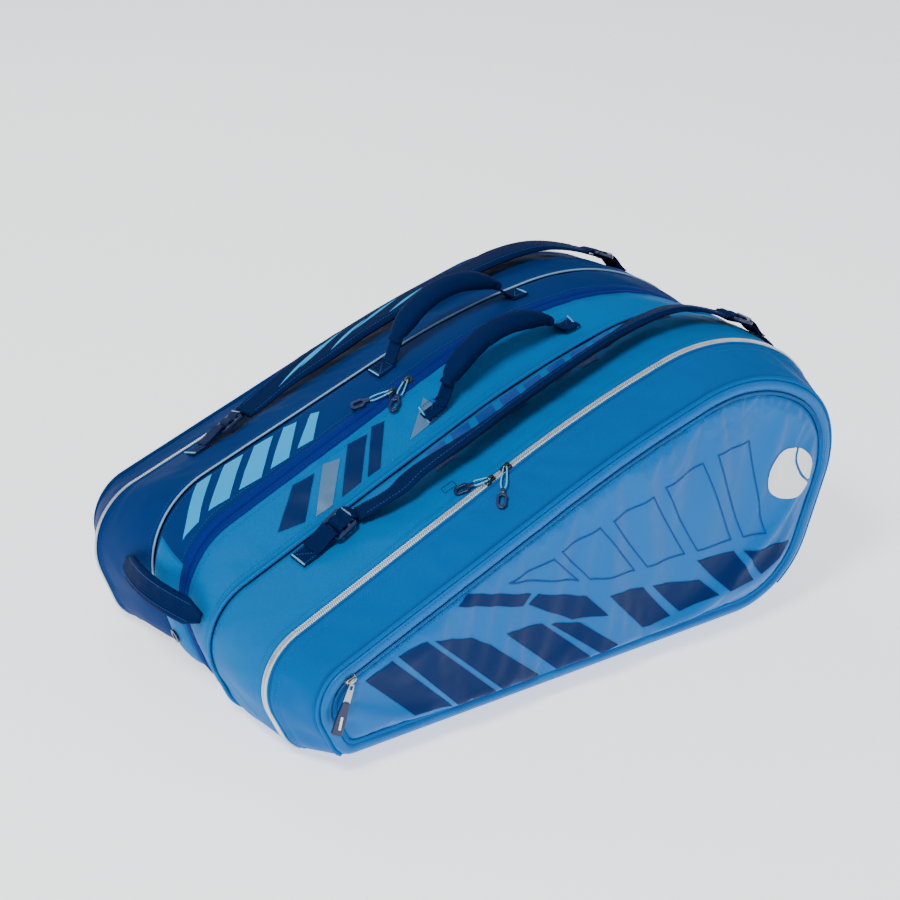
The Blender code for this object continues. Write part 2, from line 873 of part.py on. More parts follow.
def anchor_webbing(name, x_start, x_end, y, lift_start, lift_end, half_width=0.0145):
    """Webbing from a sewn patch on the fabric up to a buckle."""
    centres = []
    sides = []
    ups = []
    for step in range(5):
        part = step / 4.0
        x = x_start + (x_end - x_start) * part
        lift = lift_start + (lift_end - lift_start) * max(0.0, (part - 0.5) * 2.0)
        along, across, normal = top_frame(x, y)
        centres.append(top_point(x, y, lift))
        sides.append(across)
        ups.append(normal)
    return sweep(
        name, centres, sides, ups, [half_width] * 5, [0.0009] * 5, NAVY, 4, 0.7, 0.0, 0.3
    )


for side_name, strap_y in (("front", -0.092), ("back", 0.137)):
    ladder_lock(side_name + "_buckle_low", -0.218, strap_y, 0.0085, math.radians(10.0))
    anchor_webbing(side_name + "_webbing_low", -0.272, -0.2360, strap_y, 0.0024, 0.0044)
for side_name, strap_y in (("front", -0.112), ("back", 0.138)):
    ladder_lock(side_name + "_buckle_high", 0.283, strap_y, 0.0100, math.radians(0.0))
    anchor_webbing(side_name + "_webbing_high", 0.335, 0.3010, strap_y, 0.0024, 0.0048)


# ---------------------------------------------------------------- handle end
def nose_point(z, y, lift=0.0):
    """Point in front of the handle end at height z."""
    outline = ring(y)
    best = None
    for index in range(RING_POINTS):
        low = outline[index]
        high = outline[(index + 1) % RING_POINTS]
        if min(low.y, high.y) <= z <= max(low.y, high.y) and abs(high.y - low.y) > 1e-9:
            x = low.x + (high.x - low.x) * (z - low.y) / (high.y - low.y)
            if best is None or x < best:
                best = x
                run = Vector((high.x - low.x, 0.0, high.y - low.y)).normalized()
    normal = Vector((run.z, 0.0, -run.x))
    if normal.x > 0:
        normal = -normal
    return Vector((best, y, z)) + normal * lift


END_HANDLE_NEAR = nose_point(0.118, -0.052, 0.0060)
END_HANDLE_FAR = nose_point(0.118, 0.104, 0.0060)
end_centres = []
end_wides = []
for step in range(11):
    part = step / 10.0
    middle = END_HANDLE_NEAR.lerp(END_HANDLE_FAR, part)
    end_centres.append(middle + Vector((-0.80, 0.0, 0.25)) * (0.018 * math.sin(math.pi * part)))
    end_wides.append(0.0060 + 0.0090 * min(1.0, 8.0 * min(part, 1.0 - part)))
end_up = Vector((-1.0, 0.0, 0.0))
end_sides = []
end_ups = []
for index in range(11):
    before = end_centres[max(index - 1, 0)]
    after = end_centres[min(index + 1, 10)]
    run = (after - before).normalized()
    side = Vector((0.35, 0.0, 0.94))
    end_sides.append((side - run * run.dot(side)).normalized())
    end_ups.append(run.cross(end_sides[-1]).normalized())
sweep(
    "end_grab_handle",
    end_centres,
    end_sides,
    end_ups,
    end_wides,
    [0.0016] * 11,
    NAVY,
    4,
    0.7,
    0.0,
    0.3,
)

# Shoe pocket low on the handle end, with its vent eyelet.
SHOE_PATH = (32.6, 37.6)
band(
    "shoe_pocket_cover",
    [
        (0.0100, -0.0006),
        (0.0160, -0.0045),
        (0.0350, -0.0075),
        (0.0520, -0.0045),
        (0.0580, -0.0006),
        (0.0340, -0.0006),
    ],
    SKY_BLUE,
    SHOE_PATH,
)
eyelet_centre = nose_point(0.055, 0.0350, 0.0092)
eyelet_ahead = nose_point(0.060, 0.0350, 0.0092)
eyelet_up = (eyelet_ahead - eyelet_centre).normalized()
eyelet_side = Vector((0.0, 1.0, 0.0))
slotted_plate(
    "vent_eyelet",
    (-0.0090, -0.0040, 0.0040, 0.0090),
    (-0.0065, -0.0025, 0.0025, 0.0065),
    {(1, 1)},
    eyelet_centre,
    eyelet_up,
    eyelet_side,
    0.0020,
    GUNMETAL,
    0.4,
    0.6,
)

# Stiff board in the bottom of the middle compartment.
board = (
    (-0.260, 0.0105),
    (0.190, 0.0105),
    (0.190, 0.0600),
    (-0.260, 0.0600),
)
prism(
    "base_board",
    board,
    Vector((0.0, 0.0, 0.0050)),
    Vector((1.0, 0.0, 0.0)),
    Vector((0.0, 1.0, 0.0)),
    0.0020,
    BOARD_BLACK,
)
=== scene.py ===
"""Racket tournament bag: looks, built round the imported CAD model."""

import math

import bmesh
import bpy
import numpy as np
from mathutils import Matrix, Vector, noise
from mathutils.bvhtree import BVHTree
from mathutils.geometry import delaunay_2d_cdt


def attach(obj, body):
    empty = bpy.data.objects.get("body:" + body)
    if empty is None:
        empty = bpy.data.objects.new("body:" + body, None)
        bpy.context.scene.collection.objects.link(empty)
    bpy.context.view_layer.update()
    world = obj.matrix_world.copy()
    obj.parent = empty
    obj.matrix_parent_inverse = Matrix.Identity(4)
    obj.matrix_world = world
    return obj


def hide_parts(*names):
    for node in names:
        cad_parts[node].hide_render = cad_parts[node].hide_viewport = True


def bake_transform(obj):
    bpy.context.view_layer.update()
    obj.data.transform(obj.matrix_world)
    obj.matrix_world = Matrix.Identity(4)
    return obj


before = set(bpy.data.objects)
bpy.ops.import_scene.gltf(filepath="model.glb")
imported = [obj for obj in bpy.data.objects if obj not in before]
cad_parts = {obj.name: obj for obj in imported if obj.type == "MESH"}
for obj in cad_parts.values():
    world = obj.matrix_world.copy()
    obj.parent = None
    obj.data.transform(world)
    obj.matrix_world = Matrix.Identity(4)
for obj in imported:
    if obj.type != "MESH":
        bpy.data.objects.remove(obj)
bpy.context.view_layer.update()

# ---------------------------------------------------------------- the profile, as in part.py
PROFILE = np.array(
    [
        (-0.334, 0.000),
        (0.301, 0.000),
        (0.385, 0.246),
        (0.226, 0.346),
        (0.030, 0.299),
        (-0.385, 0.146),
    ]
)
FILLETS = np.array([0.051, 0.128, 0.181, 0.315, 1.363, 0.105])
F_Y, Z1_Y, D1_Y, Z2_Y, D2_Y, Z3_Y, B_Y = -0.224, -0.165, -0.067, 0.002, 0.067, 0.178, 0.238
STATIONS = np.array(
    [
        (F_Y, -0.022, 0.010, -0.026, -0.010, 0.021),
        (Z1_Y, 0.000, 0.009, -0.030, -0.006, 0.000),
        (D1_Y, 0.002, 0.003, -0.022, 0.000, 0.000),
        (Z2_Y, -0.002, 0.008, 0.015, 0.040, 0.000),
        (D2_Y, 0.006, 0.012, 0.034, 0.025, 0.000),
        (Z3_Y, -0.003, -0.012, -0.001, -0.004, 0.000),
        (B_Y, -0.022, -0.004, 0.000, -0.004, 0.021),
    ]
)
CUSHIONS = ((Z1_Y, D1_Y, 0.004), (D1_Y, Z2_Y, 0.003), (Z2_Y, D2_Y, 0.003), (D2_Y, Z3_Y, 0.004))
PANEL_MIDDLE = np.array([0.030, 0.150])
LID = (1.255, 6.245)
BOTTOM = (0.255, 1.245)
ALL_ROUND = (0.0, 6.0)


class Ring:
    """Rounded side profile of the bag in one lengthwise plane.

    A place on it is a number t: corner k's arc runs from k to k + 0.5 and the straight
    after it from k + 0.5 to k + 1.
    """

    def __init__(self, y, inset=0.0, cushioned=True):
        values = [np.interp(y, STATIONS[:, 0], STATIONS[:, k]) for k in range(1, 6)]
        swell, nose_x, nose_z, slope_z, base_z = values
        if cushioned:
            for low, high, height in CUSHIONS:
                if low < y < high:
                    swell += height * math.sin(math.pi * (y - low) / (high - low))
        corners = PROFILE.copy()
        corners[0] += (nose_x, base_z + swell)
        corners[1] += (0.0, base_z + swell)
        corners[4] += (0.0, slope_z)
        corners[5] += (nose_x, nose_z)
        offset = swell - inset
        edges = np.roll(corners, -1, axis=0) - corners
        edges /= np.linalg.norm(edges, axis=1)[:, None]
        after = np.stack([edges[:, 1], -edges[:, 0]], axis=1)
        before = np.roll(after, 1, axis=0)
        dots = (before * after).sum(axis=1)
        moved = corners + (before + after) * (offset / (1.0 + dots))[:, None]
        to_before = np.roll(moved, 1, axis=0) - moved
        to_after = np.roll(moved, -1, axis=0) - moved
        len_before = np.linalg.norm(to_before, axis=1)
        len_after = np.linalg.norm(to_after, axis=1)
        cosine = (to_before * to_after).sum(axis=1) / (len_before * len_after)
        half = np.arccos(np.clip(cosine, -1.0, 1.0)) / 2.0
        tangent = np.maximum(FILLETS + offset, 0.004) / np.tan(half)
        tangent = np.minimum(tangent, np.minimum(0.49 * len_before, 0.49 * len_after))
        self.radius = tangent * np.tan(half)
        bisector = to_before / len_before[:, None] + to_after / len_after[:, None]
        bisector /= np.linalg.norm(bisector, axis=1)[:, None]
        self.centre = moved + bisector * (self.radius / np.sin(half))[:, None]
        self.start = np.arctan2(before[:, 1], before[:, 0])
        end = np.arctan2(after[:, 1], after[:, 0])
        self.turn = (end - self.start + math.pi) % (2.0 * math.pi) - math.pi

    def at(self, places):
        """Points and outward normals at an array of places, each an array of (x, z)."""
        places = np.asarray(places, float) % 6.0
        corner = np.floor(places).astype(int) % 6
        part = (places - np.floor(places)) * 2.0
        on_arc = np.minimum(part, 1.0)
        angle = self.start[corner] + self.turn[corner] * on_arc
        normal = np.stack([np.cos(angle), np.sin(angle)], axis=-1)
        spot = self.centre[corner] + normal * self.radius[corner][..., None]
        following = (corner + 1) % 6
        next_angle = self.start[following]
        next_normal = np.stack([np.cos(next_angle), np.sin(next_angle)], axis=-1)
        next_spot = self.centre[following] + next_normal * self.radius[following][..., None]
        along = np.maximum(part - 1.0, 0.0)[..., None]
        return spot + (next_spot - spot) * along, normal


_dense = np.linspace(0.0, 6.0, 6001)
_points = Ring(0.0).at(_dense)[0]
_lengths = np.concatenate([[0.0], np.cumsum(np.linalg.norm(np.diff(_points, axis=0), axis=1))])
PERIMETER = _lengths[-1]


def places_along(path, spacing):
    """Places from path[0] to path[1], evenly spaced in metres, and their run in metres."""
    turns = np.concatenate([_dense, _dense[1:] + 6.0])
    runs = np.concatenate([_lengths, _lengths[1:] + PERIMETER])
    low, high = np.interp(path, turns, runs)
    count = max(2, int(round((high - low) / spacing)) + 1)
    run = np.linspace(low, high, count)
    return np.interp(run, runs, turns), run


# ---------------------------------------------------------------- meshes
def make(name, vertices, faces, materials, body=None, slot=None, stands_for=(), uv=None,
         face_materials=None, smooth=True, outward=False):
    """Makes a piece, gives it materials, and hangs it on its CAD body."""
    mesh = bpy.data.meshes.new(name)
    vertices = [tuple(map(float, point)) for point in vertices]
    mesh.from_pydata(vertices, [], [tuple(map(int, face)) for face in faces])
    if not isinstance(materials, (list, tuple)):
        materials = [materials]
    for material in materials:
        mesh.materials.append(material)
    if face_materials is not None:
        mesh.polygons.foreach_set("material_index", np.asarray(face_materials, np.int32))
    if uv is not None:
        layer = mesh.uv_layers.new(name="UVMap")
        corner_vertex = np.zeros(len(mesh.loops), np.int32)
        mesh.loops.foreach_get("vertex_index", corner_vertex)
        layer.data.foreach_set("uv", np.asarray(uv, float)[corner_vertex].ravel())
    if smooth:
        mesh.polygons.foreach_set("use_smooth", np.ones(len(mesh.polygons), bool))
    if outward:
        shape = bmesh.new()
        shape.from_mesh(mesh)
        bmesh.ops.recalc_face_normals(shape, faces=shape.faces)
        shape.to_mesh(mesh)
        shape.free()
    piece = bpy.data.objects.new(name, mesh)
    bpy.context.scene.collection.objects.link(piece)
    if body:
        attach(piece, body)
    if stands_for:
        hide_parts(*stands_for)
    return piece


def grid_faces(rows, columns, closed=False, flip=False, start=0):
    faces = []
    last = columns if closed else columns - 1
    for row in range(rows - 1):
        for column in range(last):
            a = start + row * columns + column
            b = start + row * columns + (column + 1) % columns
            c = b + columns
            d = a + columns
            faces.append((a, d, c, b) if flip else (a, b, c, d))
    return faces


def grid_normals(points):
    """Outward normals of a (rows, columns, 3) grid, columns along the ring, rows along +Y."""
    along = np.gradient(points, axis=1)
    across = np.gradient(points, axis=0)
    normal = np.cross(across, along)
    return normal / np.maximum(np.linalg.norm(normal, axis=-1)[..., None], 1e-12)


def ring_grid(planes, places, inset):
    """Grid of points at the given planes and places, all at one inset."""
    rows = []
    for y in planes:
        spot = Ring(y, inset).at(places)[0]
        rows.append(np.stack([spot[:, 0], np.full(len(places), y), spot[:, 1]], axis=-1))
    return np.array(rows)


def soft_noise(points, scale, seed=0.0):
    """Smooth noise in -1..1 at each point of an array of shape (..., 3)."""
    flat = np.asarray(points).reshape(-1, 3)
    shift = Vector((seed * 7.3, seed * 3.1, seed * 5.7))
    found = [noise.noise(Vector(point) / scale + shift) for point in flat]
    return np.array(found).reshape(np.asarray(points).shape[:-1])


# ---------------------------------------------------------------- materials
def socket_math(tree, operation, first, second=None, clamp=False):
    node = tree.nodes.new("ShaderNodeMath")
    node.operation = operation
    node.use_clamp = clamp
    for index, value in enumerate((first, second)):
        if value is None:
            continue
        if isinstance(value, (int, float)):
            node.inputs[index].default_value = value
        else:
            tree.links.new(value, node.inputs[index])
    return node.outputs[0]


def mix_color(tree, factor, first, second):
    node = tree.nodes.new("ShaderNodeMix")
    node.data_type = "RGBA"
    if isinstance(factor, (int, float)):
        node.inputs[0].default_value = factor
    else:
        tree.links.new(factor, node.inputs[0])
    for index, value in ((6, first), (7, second)):
        if isinstance(value, tuple):
            node.inputs[index].default_value = value
        else:
            tree.links.new(value, node.inputs[index])
    return node.outputs[2]


def new_material(name, color, roughness, metallic=0.0, sheen=0.0, coat=0.0, gloss=0.05):
    material = bpy.data.materials.new(name)
    material.use_nodes = True
    material.diffuse_color = color
    tree = material.node_tree
    shader = tree.nodes["Principled BSDF"]
    shader.inputs["Base Color"].default_value = color
    shader.inputs["Roughness"].default_value = roughness
    shader.inputs["Metallic"].default_value = metallic
    shader.inputs["Specular IOR Level"].default_value = gloss
    shader.inputs["Sheen Weight"].default_value = sheen
    shader.inputs["Sheen Roughness"].default_value = 0.35
    shader.inputs["Coat Weight"].default_value = coat
    shader.inputs["Coat Roughness"].default_value = 0.15
    return material, tree, shader


def shade(color, factor):
    return tuple(min(1.0, channel * factor) for channel in color[:3]) + (1.0,)


def weave(name, color, pitch=0.0022, depth=0.35, roughness=0.55, contrast=0.16, sheen=0.0,
          blotch=0.10, twill=0.0):
    """Woven cloth: crossing threads along the piece's own UV, laid out in metres."""
    material, tree, shader = new_material(name, color, roughness, sheen=sheen)
    coordinates = tree.nodes.new("ShaderNodeTexCoord")
    split = tree.nodes.new("ShaderNodeSeparateXYZ")
    tree.links.new(coordinates.outputs["UV"], split.inputs[0])
    rate = 2.0 * math.pi / pitch
    along = socket_math(tree, "MULTIPLY", split.outputs[0], rate)
    across = socket_math(tree, "MULTIPLY", split.outputs[1], rate)
    if twill:
        across = socket_math(tree, "ADD", across, socket_math(tree, "MULTIPLY", along, twill))
    first = socket_math(tree, "SINE", along)
    second = socket_math(tree, "SINE", across)
    product = socket_math(tree, "MULTIPLY", first, second)
    height = socket_math(tree, "MULTIPLY_ADD", product, 0.5)
    height.node.inputs[2].default_value = 0.5
    cloud = tree.nodes.new("ShaderNodeTexNoise")
    cloud.inputs["Scale"].default_value = 9.0
    cloud.inputs["Detail"].default_value = 3.0
    tree.links.new(coordinates.outputs["Object"], cloud.inputs["Vector"])
    fleck = tree.nodes.new("ShaderNodeTexNoise")
    fleck.inputs["Scale"].default_value = 420.0
    fleck.inputs["Detail"].default_value = 1.0
    tree.links.new(coordinates.outputs["Object"], fleck.inputs["Vector"])
    base = mix_color(tree, height, shade(color, 1.0 - contrast), shade(color, 1.0 + contrast))
    spread = mix_color(
        tree, cloud.outputs["Fac"], shade(color, 1.0 - blotch), shade(color, 1.0 + blotch)
    )
    tinted = mix_color(tree, 0.45, base, spread)
    flecked = mix_color(
        tree, socket_math(tree, "MULTIPLY", fleck.outputs["Fac"], 0.30), tinted, shade(color, 0.75)
    )
    tree.links.new(flecked, shader.inputs["Base Color"])
    rough = socket_math(tree, "MULTIPLY_ADD", height, -0.12)
    rough.node.inputs[2].default_value = roughness + 0.06
    tree.links.new(rough, shader.inputs["Roughness"])
    bump = tree.nodes.new("ShaderNodeBump")
    bump.inputs["Strength"].default_value = depth
    bump.inputs["Distance"].default_value = 0.0004
    tree.links.new(height, bump.inputs["Height"])
    tree.links.new(bump.outputs[0], shader.inputs["Normal"])
    return material


def satin(name, color, roughness=0.34, shine=0.12, sheen=0.0):
    """Smooth polyester with a fine twill, a soft shine and small creases."""
    material, tree, shader = new_material(name, color, roughness, sheen=sheen, gloss=shine)
    coordinates = tree.nodes.new("ShaderNodeTexCoord")
    crease = tree.nodes.new("ShaderNodeTexNoise")
    crease.inputs["Scale"].default_value = 55.0
    crease.inputs["Detail"].default_value = 4.0
    crease.inputs["Distortion"].default_value = 0.8
    tree.links.new(coordinates.outputs["Object"], crease.inputs["Vector"])
    cloud = tree.nodes.new("ShaderNodeTexNoise")
    cloud.inputs["Scale"].default_value = 7.0
    tree.links.new(coordinates.outputs["Object"], cloud.inputs["Vector"])
    split = tree.nodes.new("ShaderNodeSeparateXYZ")
    tree.links.new(coordinates.outputs["Object"], split.inputs[0])
    diagonal = socket_math(tree, "ADD", split.outputs[0], split.outputs[2])
    twill = socket_math(tree, "SINE", socket_math(tree, "MULTIPLY", diagonal, 2800.0))
    base = mix_color(tree, cloud.outputs["Fac"], shade(color, 0.86), shade(color, 1.14))
    fine = mix_color(tree, socket_math(tree, "MULTIPLY_ADD", twill, 0.10), base, shade(color, 1.35))
    tree.links.new(fine, shader.inputs["Base Color"])
    rough = socket_math(tree, "MULTIPLY_ADD", crease.outputs["Fac"], 0.22)
    rough.node.inputs[2].default_value = roughness - 0.08
    tree.links.new(rough, shader.inputs["Roughness"])
    bump = tree.nodes.new("ShaderNodeBump")
    bump.inputs["Strength"].default_value = 0.30
    bump.inputs["Distance"].default_value = 0.0012
    tree.links.new(crease.outputs["Fac"], bump.inputs["Height"])
    tree.links.new(bump.outputs[0], shader.inputs["Normal"])
    return material


def moulded(name, color, roughness=0.38, metallic=0.0, grain=600.0, depth=0.12, coat=0.0):
    """Moulded plastic or plated metal with a fine grain and slight wear."""
    material, tree, shader = new_material(
        name, color, roughness, metallic, coat=coat, gloss=0.45
    )
    coordinates = tree.nodes.new("ShaderNodeTexCoord")
    fine = tree.nodes.new("ShaderNodeTexNoise")
    fine.inputs["Scale"].default_value = grain
    tree.links.new(coordinates.outputs["Object"], fine.inputs["Vector"])
    smear = tree.nodes.new("ShaderNodeTexNoise")
    smear.inputs["Scale"].default_value = 60.0
    smear.inputs["Detail"].default_value = 3.0
    tree.links.new(coordinates.outputs["Object"], smear.inputs["Vector"])
    tree.links.new(
        mix_color(tree, smear.outputs["Fac"], shade(color, 0.85), shade(color, 1.18)),
        shader.inputs["Base Color"],
    )
    rough = socket_math(tree, "MULTIPLY_ADD", smear.outputs["Fac"], 0.20)
    rough.node.inputs[2].default_value = roughness - 0.08
    tree.links.new(rough, shader.inputs["Roughness"])
    bump = tree.nodes.new("ShaderNodeBump")
    bump.inputs["Strength"].default_value = depth
    bump.inputs["Distance"].default_value = 0.0002
    tree.links.new(fine.outputs["Fac"], bump.inputs["Height"])
    tree.links.new(bump.outputs[0], shader.inputs["Normal"])
    return material


SKY = (0.000, 0.148, 0.430, 1.0)
SKY_DEEP = (0.000, 0.112, 0.370, 1.0)
DARK = (0.000, 0.030, 0.150, 1.0)
ROYAL = (0.000, 0.017, 0.190, 1.0)
NAVY = (0.000, 0.011, 0.065, 1.0)
DEEP_NAVY = (0.000, 0.014, 0.080, 1.0)
GREY_BLUE = (0.060, 0.145, 0.270, 1.0)
CYAN = (0.000, 0.300, 0.640, 1.0)
LIGHT_CORD = (0.130, 0.560, 0.820, 1.0)
WHITE = (0.840, 0.860, 0.900, 1.0)
SILVER = (0.760, 0.800, 0.840, 1.0)

sky_cloth = weave("sky_cloth", SKY, 0.0024, 0.35, 0.50)
lid_cloth = weave("lid_cloth", SKY_DEEP, 0.0024, 0.35, 0.50)
dark_cloth = weave("dark_cloth", DARK, 0.0024, 0.30, 0.60, sheen=0.0)
royal_cloth = weave("royal_cloth", ROYAL, 0.0016, 0.30, 0.55, sheen=0.0)
pocket_satin = satin("pocket_satin", SKY_DEEP, 0.36, 0.20)
lining_cloth = weave("lining_cloth", (0.012, 0.020, 0.045, 1.0), 0.0018, 0.2, 0.7)
foil_lining = weave("foil_lining", (0.30, 0.33, 0.37, 1.0), 0.0030, 0.3, 0.45)
navy_webbing = weave("navy_webbing", NAVY, 0.0028, 0.9, 0.62, 0.30, 0.0, twill=1.0)
navy_sleeve = weave("navy_sleeve", NAVY, 0.0016, 0.5, 0.62, 0.22, 0.0)
sky_piping = weave("sky_piping", shade(SKY, 1.05), 0.0020, 0.2, 0.42)
lid_piping = weave("lid_piping", shade(SKY_DEEP, 1.10), 0.0020, 0.2, 0.40)
dark_piping = weave("dark_piping", shade(DARK, 1.1), 0.0020, 0.2, 0.45)
light_piping = weave("light_piping", (0.22, 0.42, 0.62, 1.0), 0.0020, 0.2, 0.40)
silver_coil = moulded("silver_coil", SILVER, 0.36, 0.55, 900.0)
silver_tape = weave("silver_tape", (0.20, 0.29, 0.40, 1.0), 0.0012, 0.3, 0.5)
blue_coil = moulded("blue_coil", shade(SKY_DEEP, 0.75), 0.45)
navy_coil = moulded("navy_coil", shade(ROYAL, 0.7), 0.45)
thread_light = moulded("thread_light", LIGHT_CORD, 0.55)
thread_sky = moulded("thread_sky", shade(SKY, 0.80), 0.55)
thread_dark = moulded("thread_dark", shade(DARK, 1.6), 0.60)
print_navy = satin("print_navy", DEEP_NAVY, 0.42)
print_line = satin("print_line", (0.000, 0.040, 0.220, 1.0), 0.42)
print_white = satin("print_white", WHITE, 0.45)
print_grey = satin("print_grey", GREY_BLUE, 0.30, 0.40)
print_cyan = satin("print_cyan", CYAN, 0.42)
gunmetal = moulded("gunmetal", (0.10, 0.105, 0.115, 1.0), 0.26, 1.0, 400.0, 0.05)
chrome = moulded("chrome", (0.36, 0.37, 0.39, 1.0), 0.16, 1.0, 400.0, 0.04)
navy_plastic = moulded("navy_plastic", NAVY, 0.36, coat=0.15)
grey_plastic = moulded("grey_plastic", (0.16, 0.22, 0.32, 1.0), 0.35, coat=0.2)
cord_material = weave("cord_material", LIGHT_CORD, 0.0008, 0.6, 0.55)
mesh_cloth = weave("mesh_cloth", (0.006, 0.010, 0.028, 1.0), 0.0034, 1.2, 0.8, 0.5)
board_plastic = moulded("board_plastic", (0.015, 0.016, 0.018, 1.0), 0.5)


# ---------------------------------------------------------------- gussets
THICK = 0.0026


def gusset_lift(points, planes, run, seams, zips, amount, seed):
    """How far the cloth stands off the plain shape: tucks, folds and soft creases."""
    rows, columns = points.shape[:2]
    wide = soft_noise(points, 0.075, seed) * amount * 1.1
    stretched = points * np.array([1.0, 0.35, 1.0])
    fine = soft_noise(stretched, 0.022, seed + 3.0) * amount * 0.75
    slanted = points.copy()
    slanted[..., 0] += points[..., 1] * 0.8
    slanted[..., 1] *= 0.30
    ridge = 1.0 - np.abs(soft_noise(slanted, 0.034, seed + 6.0)) * 2.6
    lift = wide + fine + np.clip(ridge, 0.0, 1.0) ** 2 * amount * 0.9 - amount * 0.35
    lift = np.where(lift > 0.0, 0.0012 * np.tanh(lift / 0.0012), 0.0024 * np.tanh(lift / 0.0024))
    low, high = planes[0], planes[-1]
    edge = np.minimum(planes - low, high - planes)
    lift *= np.clip(edge / 0.010, 0.15, 1.0)[:, None]
    for y in seams:
        gap = np.abs(planes - y)
        lift -= (0.0016 * np.exp(-((gap / 0.0040) ** 2)))[:, None]
        ripple = np.sin(run / 0.0125 + 3.0 * soft_noise(points[0], 0.05, seed + 9.0))
        fade = np.exp(-gap / 0.012) * (1.0 - np.exp(-gap / 0.004))
        lift += fade[:, None] * ripple[None, :] * amount * 0.35
    for y in zips:
        gap = np.abs(planes - y)
        lift += (0.0011 * np.exp(-(((gap - 0.0085) / 0.0028) ** 2)))[:, None]
        lift -= (0.0008 * np.exp(-(((gap - 0.0125) / 0.0016) ** 2)))[:, None]
    return lift


def gusset(name, node, low, high, path, body, outer, inner, slot, seams=(), zips=(),
           amount=0.0012, seed=1.0):
    """Cloth wall that follows the profile between two planes, lined on the inside."""
    closed = path == ALL_ROUND
    places, run = places_along(path, 0.0075)
    if closed:
        places, run = places[:-1], run[:-1]
    count = max(4, int(round((high - low) / 0.0042)))
    planes = np.linspace(low, high, count + 1)
    bare = ring_grid(planes, places, 0.0)
    lift = gusset_lift(bare, planes, run, seams, zips, amount, seed)
    on_floor = bare[..., 2] < 0.004
    lift = np.where(on_floor, np.minimum(lift, 0.0) * 0.3, lift)
    outside = bare + grid_normals(bare) * lift[..., None]
    outside[..., 2] = np.maximum(outside[..., 2], 0.0002)
    dips = np.minimum(lift, 0.0)
    inside = ring_grid(planes, places, THICK) + grid_normals(bare) * dips[..., None]
    rows, columns = bare.shape[:2]
    size = rows * columns
    vertices = np.concatenate([outside.reshape(-1, 3), inside.reshape(-1, 3)])
    faces = grid_faces(rows, columns, closed)
    outer_count = len(faces)
    faces += grid_faces(rows, columns, closed, True, size)
    last = columns if closed else columns - 1
    for row, flip in ((0, False), (rows - 1, True)):
        for column in range(last):
            a = row * columns + column
            b = row * columns + (column + 1) % columns
            quad = (a, a + size, b + size, b)
            faces.append(quad[::-1] if flip else quad)
    if not closed:
        for column, flip in ((0, True), (columns - 1, False)):
            for row in range(rows - 1):
                a = row * columns + column
                b = a + columns
                quad = (a, a + size, b + size, b)
                faces.append(quad[::-1] if flip else quad)
    slots = [0] * outer_count + [1] * outer_count + [0] * (len(faces) - 2 * outer_count)
    across = np.repeat(planes[:, None], columns, axis=1)
    along = np.repeat(run[None, :], rows, axis=0)
    uv = np.stack([along, across], axis=-1).reshape(-1, 2)
    uv = np.concatenate([uv, uv])
    piece = make(
        name, vertices, faces, [outer, inner], body, slot, [node], uv, slots, outward=True
    )
    return piece


g_lid = gusset(
    "front_lid_cloth", "front_lid_gusset", F_Y + 0.0026, Z1_Y - 0.0044, LID, "front_lid",
    lid_cloth, foil_lining, "sky_fabric", [F_Y], [Z1_Y], 0.0022, 1.0,
)
gusset(
    "front_bottom_cloth", "front_bottom_panel", F_Y + 0.0028, Z1_Y + 0.0040, BOTTOM,
    "front_unit", lid_cloth, foil_lining, "sky_fabric", [F_Y], [], 0.0006, 2.0,
)
g_front = gusset(
    "front_rear_cloth", "front_rear_gusset", Z1_Y + 0.0044, D1_Y - 0.0018, ALL_ROUND,
    "front_unit", sky_cloth, foil_lining, "sky_fabric", [D1_Y], [Z1_Y], 0.0017, 3.0,
)
g_mid_front = gusset(
    "middle_front_cloth", "middle_front_gusset", D1_Y + 0.0018, Z2_Y - 0.0044, ALL_ROUND,
    "front_unit", sky_cloth, lining_cloth, "sky_fabric", [D1_Y], [Z2_Y], 0.0015, 4.0,
)
g_mid_rear = gusset(
    "middle_rear_cloth", "middle_rear_gusset", Z2_Y + 0.0044, D2_Y - 0.0018, ALL_ROUND,
    "center", dark_cloth, lining_cloth, "dark_blue_fabric", [D2_Y], [Z2_Y], 0.0012, 5.0,
)
g_back_front = gusset(
    "back_front_cloth", "back_front_gusset", D2_Y + 0.0018, Z3_Y - 0.0044, ALL_ROUND,
    "center", dark_cloth, lining_cloth, "dark_blue_fabric", [D2_Y], [Z3_Y], 0.0015, 6.0,
)
gusset(
    "back_bottom_cloth", "back_bottom_panel", Z3_Y - 0.0040, B_Y - 0.0028, BOTTOM,
    "center", dark_cloth, lining_cloth, "dark_blue_fabric", [B_Y], [], 0.0006, 7.0,
)
g_back_lid = gusset(
    "back_lid_cloth", "back_lid_gusset", Z3_Y + 0.0044, B_Y - 0.0026, LID, "back_lid",
    dark_cloth, lining_cloth, "dark_blue_fabric", [B_Y], [Z3_Y], 0.0014, 8.0,
)


